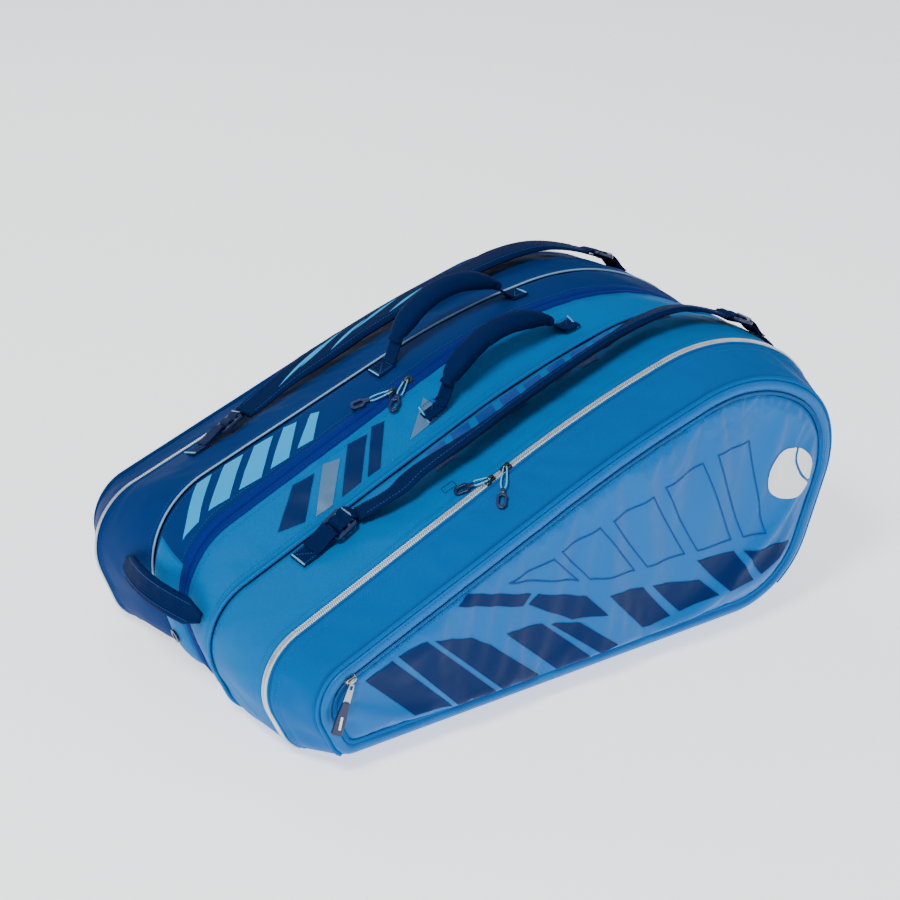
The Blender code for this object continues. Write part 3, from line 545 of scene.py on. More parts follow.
# ---------------------------------------------------------------- piping
def tube_on_ring(name, y, inset, radius, path, body, material, slot, node, wobble=0.0003):
    """Cord piping that follows the ring."""
    places, run = places_along(path, 0.0060)
    spot, normal = Ring(y, inset).at(places)
    wave = np.array([noise.noise(Vector((r / 0.05, y * 40.0, 0.0))) for r in run]) * wobble
    centre = np.stack([spot[:, 0], np.full(len(run), y), spot[:, 1]], axis=-1)
    out = np.stack([normal[:, 0], np.zeros(len(run)), normal[:, 1]], axis=-1)
    centre += out * wave[:, None]
    side = np.array([0.0, 1.0, 0.0])
    corners = 10
    rows = []
    for corner in range(corners):
        angle = 2.0 * math.pi * corner / corners
        rows.append(centre + out * math.cos(angle) * radius + side * math.sin(angle) * radius)
    points = np.array(rows)
    vertices = points.reshape(-1, 3)
    columns = len(run)
    faces = grid_faces(corners, columns)
    for column in range(columns - 1):
        a = (corners - 1) * columns + column
        faces.append((a, a + 1, column + 1, column))
    faces.append([corner * columns for corner in range(corners)])
    faces.append([corner * columns + columns - 1 for corner in range(corners)][::-1])
    uv = np.stack(
        [
            np.repeat(run[None, :], corners, axis=0),
            np.repeat((np.arange(corners) * 0.0014)[:, None], columns, axis=1),
        ],
        axis=-1,
    ).reshape(-1, 2)
    return make(name, vertices, faces, material, body, slot, [node], uv, outward=True)


tube_on_ring("front_panel_cord", F_Y, 0.0006, 0.0023, LID, "front_lid", lid_piping,
             "sky_fabric", "front_panel_piping")
tube_on_ring("front_seam_cord", D1_Y, -0.0014, 0.0020, LID, "front_unit", sky_piping,
             "sky_fabric", "front_seam_piping")
tube_on_ring("rear_seam_cord", D2_Y, -0.0008, 0.0012, LID, "center", light_piping,
             "light_piping", "rear_seam_piping")
tube_on_ring("back_panel_cord", B_Y, 0.0006, 0.0023, LID, "back_lid", dark_piping,
             "dark_blue_fabric", "back_panel_piping")


# ---------------------------------------------------------------- zips
def ring_strip(name, low, high, lift, thickness, path, body, material, slot, stands_for=(),
               crown=0.0):
    """Flat tape that follows the ring between two planes."""
    places, run = places_along(path, 0.0075)
    planes = np.linspace(low, high, 4)
    top = ring_grid(planes, places, -lift)
    bulge = np.sin(np.pi * (planes - low) / (high - low)) * crown
    top = top + grid_normals(top) * bulge[:, None, None]
    under = ring_grid(planes, places, -lift + thickness)
    rows, columns = top.shape[:2]
    size = rows * columns
    vertices = np.concatenate([top.reshape(-1, 3), under.reshape(-1, 3)])
    faces = grid_faces(rows, columns) + grid_faces(rows, columns, False, True, size)
    for row in (0, rows - 1):
        for column in range(columns - 1):
            a = row * columns + column
            faces.append((a, a + size, a + size + 1, a + 1))
    for column in (0, columns - 1):
        for row in range(rows - 1):
            a = row * columns + column
            faces.append((a, a + size, a + size + columns, a + columns))
    uv = np.stack(
        [np.repeat(run[None, :], rows, axis=0), np.repeat(planes[:, None], columns, axis=1)],
        axis=-1,
    ).reshape(-1, 2)
    uv = np.concatenate([uv, uv])
    return make(name, vertices, faces, material, body, slot, stands_for, uv, outward=True)


TOOTH = np.array(
    [(-1, -1, -1), (1, -1, -1), (1, 1, -1), (-1, 1, -1),
     (-1, -1, 1), (1, -1, 1), (1, 1, 1), (-1, 1, 1)],
    float,
)
TOOTH_FACES = ((0, 3, 2, 1), (4, 5, 6, 7), (0, 1, 5, 4), (1, 2, 6, 5), (2, 3, 7, 6), (3, 0, 4, 7))


def blocks(name, centres, alongs, ups, size, body, material, slot, taper=0.6):
    """Many small blocks in one piece: zip teeth or stitches. size is half of each extent."""
    alongs = alongs / np.linalg.norm(alongs, axis=1)[:, None]
    ups = ups - alongs * (alongs * ups).sum(axis=1)[:, None]
    ups = ups / np.linalg.norm(ups, axis=1)[:, None]
    sides = np.cross(ups, alongs)
    vertices = []
    faces = []
    shape = TOOTH.copy()
    shape[4:, :2] *= taper
    for index in range(len(centres)):
        base = 8 * index
        offset = (
            alongs[index] * (shape[:, :1] * size[0])
            + sides[index] * (shape[:, 1:2] * size[1])
            + ups[index] * (shape[:, 2:] * size[2])
        )
        vertices.append(centres[index] + offset)
        faces += [tuple(base + corner for corner in face) for face in TOOTH_FACES]
    return make(name, np.concatenate(vertices), faces, material, body, slot, smooth=False)


def ring_line(y, lift, path, spacing, phase=0.0):
    """Points, run directions and normals along the ring, spaced evenly."""
    places, run = places_along(path, spacing)
    if phase:
        places = (places[:-1] + (places[1:] - places[:-1]) * phase)
    ring = Ring(y, 0.0)
    spot, normal = ring.at(places)
    centre = np.stack([spot[:, 0], np.full(len(places), y), spot[:, 1]], axis=-1)
    out = np.stack([normal[:, 0], np.zeros(len(places)), normal[:, 1]], axis=-1)
    along = np.cross(np.array([0.0, 1.0, 0.0]), out)
    return centre + out * lift, along, out


def coil_half(name, y, path, body, material, slot, sense, phase):
    """One row of coil teeth, set half a pitch from the row that it meshes with."""
    centre, along, out = ring_line(y + sense * 0.0016, 0.0013, path, 0.0022, phase)
    slant = along + np.array([0.0, 0.35 * sense, 0.0])
    return blocks(name, centre, slant, out, (0.00072, 0.0015, 0.0008), body, material, slot, 0.7)


ZIP_LIFT = 0.0006
for zip_name, y, near_body, far_body, tape, coil, slot in (
    ("front", Z1_Y, "front_lid", "front_unit", silver_tape, silver_coil, "silver_zip"),
    ("rear", Z3_Y, "center", "back_lid", silver_tape, silver_coil, "silver_zip"),
):
    for half, body, sense in (("near", near_body, -1.0), ("far", far_body, 1.0)):
        inner_edge = y + sense * 0.0002
        outer_edge = y + sense * 0.0031
        ring_strip(
            "%s_zip_%s_edge" % (zip_name, half), min(outer_edge, y + sense * 0.0044),
            max(outer_edge, y + sense * 0.0044), ZIP_LIFT + 0.0004, 0.0028, LID, body,
            lid_piping if zip_name == "front" else dark_piping, slot,
        )
        ring_strip(
            "%s_zip_%s_tape" % (zip_name, half), min(inner_edge, outer_edge),
            max(inner_edge, outer_edge), ZIP_LIFT, 0.0026, LID, body, tape, slot,
            ["%s_zip_%s_half" % (zip_name, half)],
        )
        coil_half(
            "%s_zip_%s_coil" % (zip_name, half), y, LID, body, coil, slot, sense,
            0.5 if sense > 0 else 0.0,
        )
for half, body, sense in (("near", "front_unit", -1.0), ("far", "center", 1.0)):
    inner_edge = Z2_Y + sense * 0.0002
    outer_edge = Z2_Y + sense * 0.0095
    ring_strip(
        "middle_zip_%s_lip" % half, min(inner_edge, outer_edge), max(inner_edge, outer_edge),
        0.0016, 0.0034, LID, body, royal_cloth, "royal_zip", ["middle_zip_%s_half" % half], 0.0009,
    )
    centre, along, out = ring_line(Z2_Y + sense * 0.0072, 0.0021, LID, 0.0036)
    blocks(
        "middle_zip_%s_stitch" % half, centre, along, out, (0.0012, 0.00035, 0.0003), body,
        navy_coil, "royal_zip",
    )


# ---------------------------------------------------------------- places on the bag
_tops = {}


def top_z(x, y):
    key = round(float(y), 4)
    if key not in _tops:
        spot = Ring(key).at(np.linspace(2.2, 5.35, 900))[0]
        order = np.argsort(spot[:, 0])
        _tops[key] = (spot[order, 0], spot[order, 1])
    return float(np.interp(x, *_tops[key]))


def top_frame(x, y):
    """Directions on the top: along +X, across +Y and the outward normal."""
    along = Vector((0.008, 0.0, top_z(x + 0.004, y) - top_z(x - 0.004, y))).normalized()
    across = Vector((0.0, 0.006, top_z(x, y + 0.003) - top_z(x, y - 0.003))).normalized()
    normal = along.cross(across).normalized()
    return along, normal.cross(along).normalized(), normal


def on_top(x, y, lift=0.0):
    return Vector((x, y, top_z(x, y))) + top_frame(x, y)[2] * lift


def nose_point(z, y, lift=0.0):
    spot, normal = Ring(y).at(np.linspace(4.9, 6.3, 900))
    index = int(np.argmin(np.abs(spot[:, 1] - z)))
    point = Vector((spot[index, 0], y, z))
    return point + Vector((normal[index, 0], 0.0, normal[index, 1])) * lift


def turned(direction, axis, angle):
    return Matrix.Rotation(angle, 3, axis) @ direction


def eased(points, x):
    """Smooth value at x of a polyline of (x, value)."""
    if x <= points[0][0]:
        return points[0][1]
    for low, high in zip(points, points[1:]):
        if x <= high[0]:
            part = (x - low[0]) / (high[0] - low[0])
            part = part * part * (3.0 - 2.0 * part)
            return low[1] + (high[1] - low[1]) * part
    return points[-1][1]


# ---------------------------------------------------------------- sweeps and plates
def oval(corners, power):
    """Cross-section of a rounded bar as (side, up) pairs in -1..1."""
    angles = 2.0 * np.pi * (np.arange(corners) + 0.5) / corners
    cosine, sine = np.cos(angles), np.sin(angles)
    return np.stack(
        [np.sign(cosine) * np.abs(cosine) ** power, np.sign(sine) * np.abs(sine) ** power],
        axis=1,
    )


def loft(name, rows, material, body=None, slot=None, stands_for=(), face_materials=None,
         smooth=True, closed=False):
    """Skin over a (rows, corners, 3) array of closed sections, capped at both ends."""
    rows = np.asarray(rows, float)
    count, corners = rows.shape[:2]
    around = np.linalg.norm(np.roll(rows, -1, axis=1) - rows, axis=2).mean(axis=0)
    v = np.concatenate([[0.0], np.cumsum(around)[:-1]])
    steps = np.linalg.norm(np.diff(rows.mean(axis=1), axis=0), axis=1)
    u = np.concatenate([[0.0], np.cumsum(steps)])
    uv = np.stack(np.meshgrid(u, v, indexing="ij"), axis=-1).reshape(-1, 2)
    faces = []
    last = count if closed else count - 1
    for row in range(last):
        for corner in range(corners):
            a = row * corners + corner
            b = row * corners + (corner + 1) % corners
            nxt = ((row + 1) % count) * corners
            faces.append((a, b, nxt + (corner + 1) % corners, nxt + corner))
    sides = len(faces)
    if not closed:
        faces.append(tuple(range(corners)))
        faces.append(tuple(range((count - 1) * corners, count * corners)))
    slots = None
    if face_materials is not None:
        slots = [face_materials[index % corners] for index in range(sides)]
        slots += [0] * (len(faces) - sides)
    return make(name, rows.reshape(-1, 3), faces, material, body, slot, stands_for, uv, slots,
                smooth, True)


def bar(name, centres, sides, ups, wides, highs, material, body, slot, stands_for=(),
        corners=16, power=0.6, **more):
    """Sweep with rounded sections of given half width and half height."""
    shape = oval(corners, power)
    rows = []
    for centre, side, up, wide, high in zip(centres, sides, ups, wides, highs):
        side, up, centre = np.array(side), np.array(up), np.array(centre)
        rows.append(centre + shape[:, :1] * side * wide + shape[:, 1:] * up * high)
    return loft(name, rows, material, body, slot, stands_for, **more)


def smooth_path(points, count):
    """Points evenly spaced on a smooth curve through the given ones."""
    points = np.array([tuple(point) for point in points], float)
    padded = np.concatenate([[2 * points[0] - points[1]], points, [2 * points[-1] - points[-2]]])
    fine = []
    for index in range(1, len(padded) - 2):
        p0, p1, p2, p3 = padded[index - 1 : index + 3]
        for t in np.linspace(0.0, 1.0, 24, endpoint=False):
            fine.append(
                0.5 * (2 * p1 + (p2 - p0) * t + (2 * p0 - 5 * p1 + 4 * p2 - p3) * t * t
                       + (3 * p1 - p0 - 3 * p2 + p3) * t ** 3)
            )
    fine.append(points[-1])
    fine = np.array(fine)
    runs = np.concatenate([[0.0], np.cumsum(np.linalg.norm(np.diff(fine, axis=0), axis=1))])
    even = np.linspace(0.0, runs[-1], count)
    return np.stack([np.interp(even, runs, fine[:, axis]) for axis in range(3)], axis=1)


def ribbon(name, points, side, wide, thick, material, body, slot, stands_for=(), count=48,
           power=0.35, taper=None):
    """Webbing along a smooth path, its width along the given side direction."""
    path = smooth_path(points, count)
    run = np.gradient(path, axis=0)
    run /= np.linalg.norm(run, axis=1)[:, None]
    side = np.array(tuple(side), float)
    sides = side - run * (run @ side)[:, None]
    sides /= np.linalg.norm(sides, axis=1)[:, None]
    ups = np.cross(run, sides)
    wides = np.full(count, wide) if taper is None else wide * taper(np.linspace(0, 1, count))
    return bar(name, path, sides, ups, wides, np.full(count, thick), material, body, slot,
               stands_for, 12, power)


def tube(name, points, radius, material, body, slot, stands_for=(), count=40, corners=8,
         closed=False):
    """Round cord or wire along a smooth path."""
    if closed:
        points = list(points) + [points[0]]
    path = smooth_path(points, count)
    run = np.gradient(path, axis=0)
    run /= np.linalg.norm(run, axis=1)[:, None]
    hint = np.array([0.31, 0.22, 0.93])
    rows = []
    for centre, direction in zip(path, run):
        side = np.cross(hint, direction)
        side /= np.linalg.norm(side)
        up = np.cross(direction, side)
        hint = up
        angles = 2.0 * np.pi * np.arange(corners) / corners
        rows.append(
            centre + radius * (np.cos(angles)[:, None] * side + np.sin(angles)[:, None] * up)
        )
    return loft(name, rows, material, body, slot, stands_for), path


def plate(name, outline, origin, u_axis, v_axis, thickness, material, body,
          stands_for=(), bevel=0.0004, holes=()):
    """Flat piece from an outline in its own plane, centred on that plane, edges bevelled."""
    u_axis, v_axis = Vector(u_axis).normalized(), Vector(v_axis).normalized()
    normal = u_axis.cross(v_axis).normalized()
    rings = [list(outline)] + [list(hole) for hole in holes]
    flat, edges, start = [], [], 0
    for loop in rings:
        flat += [Vector(point) for point in loop]
        edges += [(start + i, start + (i + 1) % len(loop)) for i in range(len(loop))]
        start += len(loop)
    spots, _, faces, *_ = delaunay_2d_cdt(flat, edges, [], 0 if holes else 1, 1e-7)
    kept = []
    for face in faces:
        middle = sum((spots[i] for i in face), Vector((0.0, 0.0))) / len(face)
        if inside(middle, rings[0]) and not any(inside(middle, hole) for hole in rings[1:]):
            kept.append(tuple(face))
    shape = bmesh.new()
    vertices = [
        shape.verts.new(Vector(origin) + u_axis * spot.x + v_axis * spot.y - normal * thickness / 2)
        for spot in spots
    ]
    made = [shape.faces.new([vertices[i] for i in face]) for face in kept]
    raised = bmesh.ops.extrude_face_region(shape, geom=made)
    tops = [item for item in raised["geom"] if isinstance(item, bmesh.types.BMVert)]
    bmesh.ops.translate(shape, verts=tops, vec=normal * thickness)
    loose = [vertex for vertex in shape.verts if not vertex.link_faces]
    bmesh.ops.delete(shape, geom=loose, context="VERTS")
    if not holes:
        bmesh.ops.dissolve_limit(
            shape, angle_limit=0.02, verts=shape.verts, edges=shape.edges
        )
    bmesh.ops.recalc_face_normals(shape, faces=shape.faces)
    if bevel:
        sharp = [edge for edge in shape.edges if edge.is_manifold and edge.calc_face_angle() > 0.6]
        bmesh.ops.bevel(shape, geom=sharp, offset=bevel, segments=2, profile=0.6, affect="EDGES",
                        clamp_overlap=True)
    mesh = bpy.data.meshes.new(name)
    shape.to_mesh(mesh)
    shape.free()
    mesh.materials.append(material)
    piece = bpy.data.objects.new(name, mesh)
    bpy.context.scene.collection.objects.link(piece)
    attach(piece, body)
    if stands_for:
        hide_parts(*stands_for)
    return piece


def inside(point, outline):
    hits = False
    for (x0, y0), (x1, y1) in zip(outline, list(outline[1:]) + [outline[0]]):
        if (y0 > point[1]) != (y1 > point[1]):
            if point[0] < (x1 - x0) * (point[1] - y0) / (y1 - y0) + x0:
                hits = not hits
    return hits


def stitches(name, points, normals, material, body, slot, length=0.0026, gap=0.0012,
             width=0.00042, rise=0.00028):
    """Thread run along a line of points: one raised block for each stitch."""
    points, normals = np.asarray(points, float), np.asarray(normals, float)
    runs = np.concatenate([[0.0], np.cumsum(np.linalg.norm(np.diff(points, axis=0), axis=1))])
    count = max(1, int(runs[-1] / (length + gap)))
    where = (np.arange(count) + 0.5) * runs[-1] / count
    centre = np.stack([np.interp(where, runs, points[:, k]) for k in range(3)], axis=1)
    up = np.stack([np.interp(where, runs, normals[:, k]) for k in range(3)], axis=1)
    up /= np.linalg.norm(up, axis=1)[:, None]
    ahead = np.stack([np.interp(where + 1e-4, runs, points[:, k]) for k in range(3)], axis=1)
    behind = np.stack([np.interp(where - 1e-4, runs, points[:, k]) for k in range(3)], axis=1)
    along = ahead - behind
    return blocks(name, centre + up * rise * 0.4, along, up, (length / 2, width, rise), body,
                  material, slot)


# ---------------------------------------------------------------- seams on the gussets
def surface_of(*pieces):
    """Something to cast rays at: the final cloth of some pieces."""
    vertices, faces = [], []
    for piece in pieces:
        base = len(vertices)
        world = piece.matrix_world
        vertices += [world @ vertex.co for vertex in piece.data.vertices]
        faces += [
            tuple(base + index for index in polygon.vertices) for polygon in piece.data.polygons
        ]
    return BVHTree.FromPolygons(vertices, faces)


def seam_line(name, piece, y, path, material, body, slot):
    """Stitches on a gusset, parallel to a seam."""
    cloth = surface_of(piece)
    places, _ = places_along(path, 0.004)
    spot, normal = Ring(y).at(places)
    points, ups = [], []
    for (x, z), (nx, nz) in zip(spot, normal):
        up = Vector((nx, 0.0, nz))
        start = Vector((x, y, z)) + up * 0.02
        hit, _, _, _ = cloth.ray_cast(start, -up, 0.05)
        if hit is None:
            continue
        points.append(tuple(hit))
        ups.append(tuple(up))
    return stitches(name, points, ups, material, body, slot)


UPPER = (1.9, 5.9)
# Name, cloth, plane, and the side of the bag: the light blue front or the dark blue back.
for name, cloth, y, body, is_front in (
    ("front_lid_stitch", g_lid, Z1_Y - 0.0128, "front_lid", True),
    ("front_rear_stitch", g_front, Z1_Y + 0.0128, "front_unit", True),
    ("front_seam_stitch_a", g_front, D1_Y - 0.0085, "front_unit", True),
    ("front_seam_stitch_b", g_mid_front, D1_Y + 0.0085, "front_unit", True),
    ("middle_stitch_a", g_mid_front, Z2_Y - 0.0150, "front_unit", True),
    ("middle_stitch_b", g_mid_rear, Z2_Y + 0.0150, "center", False),
    ("rear_seam_stitch_a", g_mid_rear, D2_Y - 0.0080, "center", False),
    ("rear_seam_stitch_b", g_back_front, D2_Y + 0.0080, "center", False),
    ("rear_zip_stitch_a", g_back_front, Z3_Y - 0.0128, "center", False),
    ("rear_zip_stitch_b", g_back_lid, Z3_Y + 0.0128, "back_lid", False),
):
    thread, slot = (
        (thread_sky, "sky_fabric") if is_front else (thread_dark, "dark_blue_fabric")
    )
    seam_line(name, cloth, y, UPPER, thread, body, slot)


# ---------------------------------------------------------------- front panel
def outline_at(y, inset, spacing=0.005):
    places, run = places_along(ALL_ROUND, spacing)
    spot = Ring(y, inset, False).at(places[:-1])[0]
    return spot, places[:-1]


def annulus(name, inner, outer, y_of, material, body, slot, stands_for=(), flip=False):
    """Strip of the front between two insets, its depth given by a function of the part across."""
    places, run = places_along(ALL_ROUND, 0.005)
    places, run = places[:-1], run[:-1]
    parts = np.linspace(0.0, 1.0, 9)
    rows = []
    for part in parts:
        spot = Ring(F_Y, outer + (inner - outer) * part, False).at(places)[0]
        depth = y_of(part, run)
        rows.append(np.stack([spot[:, 0], depth, spot[:, 1]], axis=-1))
    rows = np.array(rows)
    columns = rows.shape[1]
    uv = np.stack(
        [np.repeat(run[None, :], len(parts), axis=0),
         np.repeat((parts * abs(inner - outer))[:, None], columns, axis=1)], axis=-1,
    ).reshape(-1, 2)
    faces = grid_faces(len(parts), columns, True, flip)
    return make(name, rows.reshape(-1, 3), faces, material, body, slot, stands_for, uv)


def thicken(piece, thickness, inner_material=None, offset=-1.0):
    """Gives an open cloth its thickness, with a lining on the inner side."""
    solidify = piece.modifiers.new("thickness", "SOLIDIFY")
    solidify.thickness = thickness
    solidify.offset = offset
    solidify.use_even_offset = False
    if inner_material is not None:
        piece.data.materials.append(inner_material)
        solidify.material_offset = len(piece.data.materials) - 1
    return piece


def apply_modifiers(piece):
    graph = bpy.context.evaluated_depsgraph_get()
    mesh = bpy.data.meshes.new_from_object(piece.evaluated_get(graph))
    piece.modifiers.clear()
    old = piece.data
    piece.data = mesh
    bpy.data.meshes.remove(old)
    return piece


def rim_depth(part, run):
    puff = np.sin(np.pi * np.clip(part, 0.0, 1.0)) ** 0.7
    ripple = np.array([noise.noise(Vector((r / 0.03, 1.7, 0.0))) for r in run])
    return F_Y - 0.0018 - 0.0034 * puff - 0.0006 * puff * ripple


rim = annulus("front_rim_cloth", 0.0154, 0.0024, rim_depth, pocket_satin, "front_lid",
              "sky_fabric", ["front_panel_rim"])
thicken(rim, 0.0014, lining_cloth)
apply_modifiers(rim)
MIDDLE = PANEL_MIDDLE


def fill_outline(outline, spacing, fixed=()):
    """Even triangles over the inside of an outline, which may be open to extra points."""
    outline = [Vector(point) for point in outline]
    low = Vector((min(p.x for p in outline), min(p.y for p in outline)))
    high = Vector((max(p.x for p in outline), max(p.y for p in outline)))
    edges = [(i, (i + 1) % len(outline)) for i in range(len(outline))]
    points = list(outline) + [Vector(point) for point in fixed]
    row = 0
    y = low.y + spacing * 0.5
    while y < high.y:
        x = low.x + (0.5 if row % 2 else 0.0) * spacing
        while x < high.x:
            spot = Vector((x, y))
            near = min((spot - p).length for p in outline) if len(outline) < 60 else None
            if inside(spot, [tuple(p) for p in outline]):
                if near is None or near > spacing * 0.45:
                    points.append(spot)
            x += spacing
        y += spacing * 0.866
        row += 1
    spots, _, faces, *_ = delaunay_2d_cdt(points, edges, [], 1, 1e-7)
    return spots, [tuple(face) for face in faces]


def bulging_panel(name, y_plane, sense, inset, heights, material, body, slot, stands_for,
                  bumps, spacing=0.0065):
    """Panel of even triangles inside the ring outline, lifted by a height profile."""
    spot, places = outline_at(y_plane, inset, spacing)
    runs = places_along(ALL_ROUND, spacing)[1][:-1]
    spots, triangles = fill_outline([tuple(point) for point in spot], spacing)
    flat = np.array([tuple(point) for point in spots])
    offset = flat - MIDDLE
    edge = spot - MIDDLE
    angle = np.arctan2(offset[:, 1], offset[:, 0])
    edge_angle = np.arctan2(edge[:, 1], edge[:, 0])
    order = np.argsort(edge_angle)
    edge_reach = np.linalg.norm(edge, axis=1)[order]
    reach = np.interp(angle, edge_angle[order], edge_reach, period=2 * np.pi)
    scale = np.linalg.norm(offset, axis=1) / reach
    gap = np.abs((angle[:, None] - edge_angle[None, :] + np.pi) % (2 * np.pi) - np.pi)
    nearest = gap.argmin(axis=1)
    lift = np.interp(scale, [point[0] for point in heights], [point[1] for point in heights])
    lift += bumps(flat[:, 0], flat[:, 1], scale, runs[nearest], places[nearest])
    vertices = np.stack([flat[:, 0], y_plane + sense * lift, flat[:, 1]], axis=-1)
    faces = [face if sense < 0 else face[::-1] for face in triangles]
    piece = make(name, vertices, faces, material, body, slot, stands_for, flat)
    return piece, scale


def pocket_bumps(x, z, scale, run, place):
    """Folds of the pocket cloth, strongest where it is gathered into its upper seam."""
    spots = np.stack([x, np.zeros_like(x), z * 1.4], axis=-1)
    broad = soft_noise(spots, 0.085, 3.0) * 0.0034
    slanted = np.stack(
        [x * 0.94 + z * 0.34, np.zeros_like(x), (z * 0.94 - x * 0.34) * 0.26], axis=-1
    )
    folds = soft_noise(slanted, 0.030, 5.0) * 0.0030
    inside_edge = np.clip((1.0 - scale) / 0.10, 0.0, 1.0)
    on_top_edge = np.clip((place - 2.35) / 0.25, 0, 1) * np.clip((4.95 - place) / 0.4, 0, 1)
    strength = 0.40 + 0.60 * np.exp(-(((x - 0.15) / 0.12) ** 2))
    drift = np.array([noise.noise(Vector((r / 0.04, 4.0, 0.0))) for r in run])
    wave = np.sin(2 * np.pi * run / 0.0185 + 4.0 * drift)
    depth = 1.0 - scale
    fade = np.clip(depth / 0.02, 0, 1) * np.exp(-depth / 0.15)
    return (broad + folds) * inside_edge + fade * wave * strength * on_top_edge * 0.0036


POCKET_HEIGHTS = [
    (0.0, 0.0186), (0.25, 0.0180), (0.45, 0.0170), (0.65, 0.0155), (0.78, 0.0138),
    (0.88, 0.0115), (0.94, 0.0088), (0.975, 0.0056), (1.0, 0.0020),
]
pocket, pocket_scale = bulging_panel(
    "pocket_cloth", F_Y, -1.0, 0.0186, POCKET_HEIGHTS, pocket_satin, "front_pocket",
    "satin_fabric", ["front_pocket_panel"], pocket_bumps, 0.0065,
)


def relax_cloth(piece, pins, grow, pressure, frames, bending, seconds_mass=0.25):
    """Drapes the panel between its sewn edges and keeps the result."""
    group = piece.vertex_groups.new(name="sewn")
    for index, weight in pins:
        group.add([index], weight, "REPLACE")
    cloth = piece.modifiers.new("drape", "CLOTH")
    cloth.settings.quality = 7
    cloth.settings.mass = seconds_mass
    cloth.settings.tension_stiffness = 30.0
    cloth.settings.compression_stiffness = 30.0
    cloth.settings.shear_stiffness = 12.0
    cloth.settings.bending_stiffness = bending
    cloth.settings.air_damping = 4.0
    cloth.settings.vertex_group_mass = "sewn"
    cloth.settings.shrink_min = -grow
    cloth.settings.use_pressure = True
    cloth.settings.uniform_pressure_force = pressure
    cloth.collision_settings.use_collision = False
    cloth.point_cache.frame_start = 1
    cloth.point_cache.frame_end = frames
    scene = bpy.context.scene
    for frame_number in range(1, frames + 1):
        scene.frame_set(frame_number)
    graph = bpy.context.evaluated_depsgraph_get()
    mesh = bpy.data.meshes.new_from_object(piece.evaluated_get(graph))
    piece.modifiers.clear()
    piece.vertex_groups.clear()
    old = piece.data
    piece.data = mesh
    bpy.data.meshes.remove(old)
    scene.frame_set(1)


def refine(piece, levels=1):
    subdivide = piece.modifiers.new("refine", "SUBSURF")
    subdivide.levels = levels
    subdivide.render_levels = levels
    apply_modifiers(piece)


relax_cloth(
    pocket,
    [(index, 1.0) for index, scale in enumerate(pocket_scale) if scale > 0.985],
    0.014, -1.2, 26, 0.35,
)
refine(pocket)
pocket_surface = surface_of(pocket)
thicken(pocket, 0.0016, lining_cloth)
apply_modifiers(pocket)

lining_spot, _ = outline_at(F_Y, 0.0036, 0.008)
plate("front_lid_lining_cloth", [tuple(p) for p in lining_spot], (0.0, F_Y + 0.0003, 0.0),
      (1.0, 0.0, 0.0), (0.0, 0.0, 1.0), 0.0024, lining_cloth, "front_lid",
      ["front_lid_lining"], 0.0)

# Pocket zip: navy tape and coil between the rim and the pocket cloth.
POCKET_ZIP = (2.2, 5.25)


def front_line(inset, y, path, spacing=0.004):
    places, run = places_along(path, spacing)
    spot, normal = Ring(F_Y, inset, False).at(places)
    points = np.stack([spot[:, 0], np.full(len(spot), y), spot[:, 1]], axis=-1)
    outward = np.stack([normal[:, 0], np.zeros(len(spot)), normal[:, 1]], axis=-1)
    return points, outward


points, outward = front_line(0.0170, F_Y - 0.0036, POCKET_ZIP)
bar("pocket_zip_tape", points, outward, [Vector((0, -1, 0))] * len(points),
    [0.0020] * len(points), [0.0008] * len(points), lid_piping, "front_pocket", "navy_zip",
    ["pocket_zip_lower_half"], 8, 0.4)
points, outward = front_line(0.0170, F_Y - 0.0032, (5.22, 8.23))
bar("pocket_bottom_seam", points, outward, [Vector((0, -1, 0))] * len(points),
    [0.0026] * len(points), [0.0012] * len(points), lid_piping, "front_lid", "sky_fabric", (),
    8, 0.6)
teeth, outward = front_line(0.0166, F_Y - 0.0046, POCKET_ZIP, 0.0022)
forward = np.repeat([[0.0, -1.0, 0.0]], len(teeth), axis=0)
blocks("pocket_zip_coil", teeth, np.cross(forward, outward), forward, (0.0007, 0.0014, 0.0006),
       "front_pocket", blue_coil, "navy_zip", 0.7)


def cast_front(x, z, surface, lift=0.0):
    hit, normal, _, _ = surface.ray_cast(Vector((x, -0.30, z)), Vector((0.0, 1.0, 0.0)), 0.2)
    if hit is None:
        return None, None
    if normal.y > 0:
        normal = -normal
    return hit + normal * lift, normal


rim_surface = surface_of(rim)
for number, inset in enumerate((0.0048, 0.0120)):
    line, _ = front_line(inset, -0.30, (2.0, 5.9))
    found = [cast_front(point[0], point[2], rim_surface) for point in line]
    found = [pair for pair in found if pair[0] is not None]
    stitches("front_rim_stitch_%d" % number, [tuple(p) for p, n in found],
             [tuple(n) for p, n in found], thread_sky, "front_lid", "sky_fabric")
line, _ = front_line(0.0225, -0.30, (2.0, 5.9))
found = [cast_front(point[0], point[2], pocket_surface) for point in line]
found = [pair for pair in found if pair[0] is not None]
stitches("pocket_edge_stitch", [tuple(p) for p, n in found], [tuple(n) for p, n in found],
         thread_sky, "front_pocket", "satin_fabric")


# ---------------------------------------------------------------- back panel and dividers
def back_bumps(x, z, scale, run, place):
    spots = np.stack([x, np.zeros_like(x), z], axis=-1)
    broad = soft_noise(spots, 0.10, 11.0) * 0.0030
    fine = soft_noise(spots * np.array([1.0, 1.0, 0.5]), 0.030, 12.0) * 0.0014
    seam_z = 0.118 + 0.16 * (x + 0.05)
    seam = -0.0022 * np.exp(-(((z - seam_z) / 0.0045) ** 2))
    return (broad + fine + seam) * np.clip((1.0 - scale) / 0.08, 0.0, 1.0)


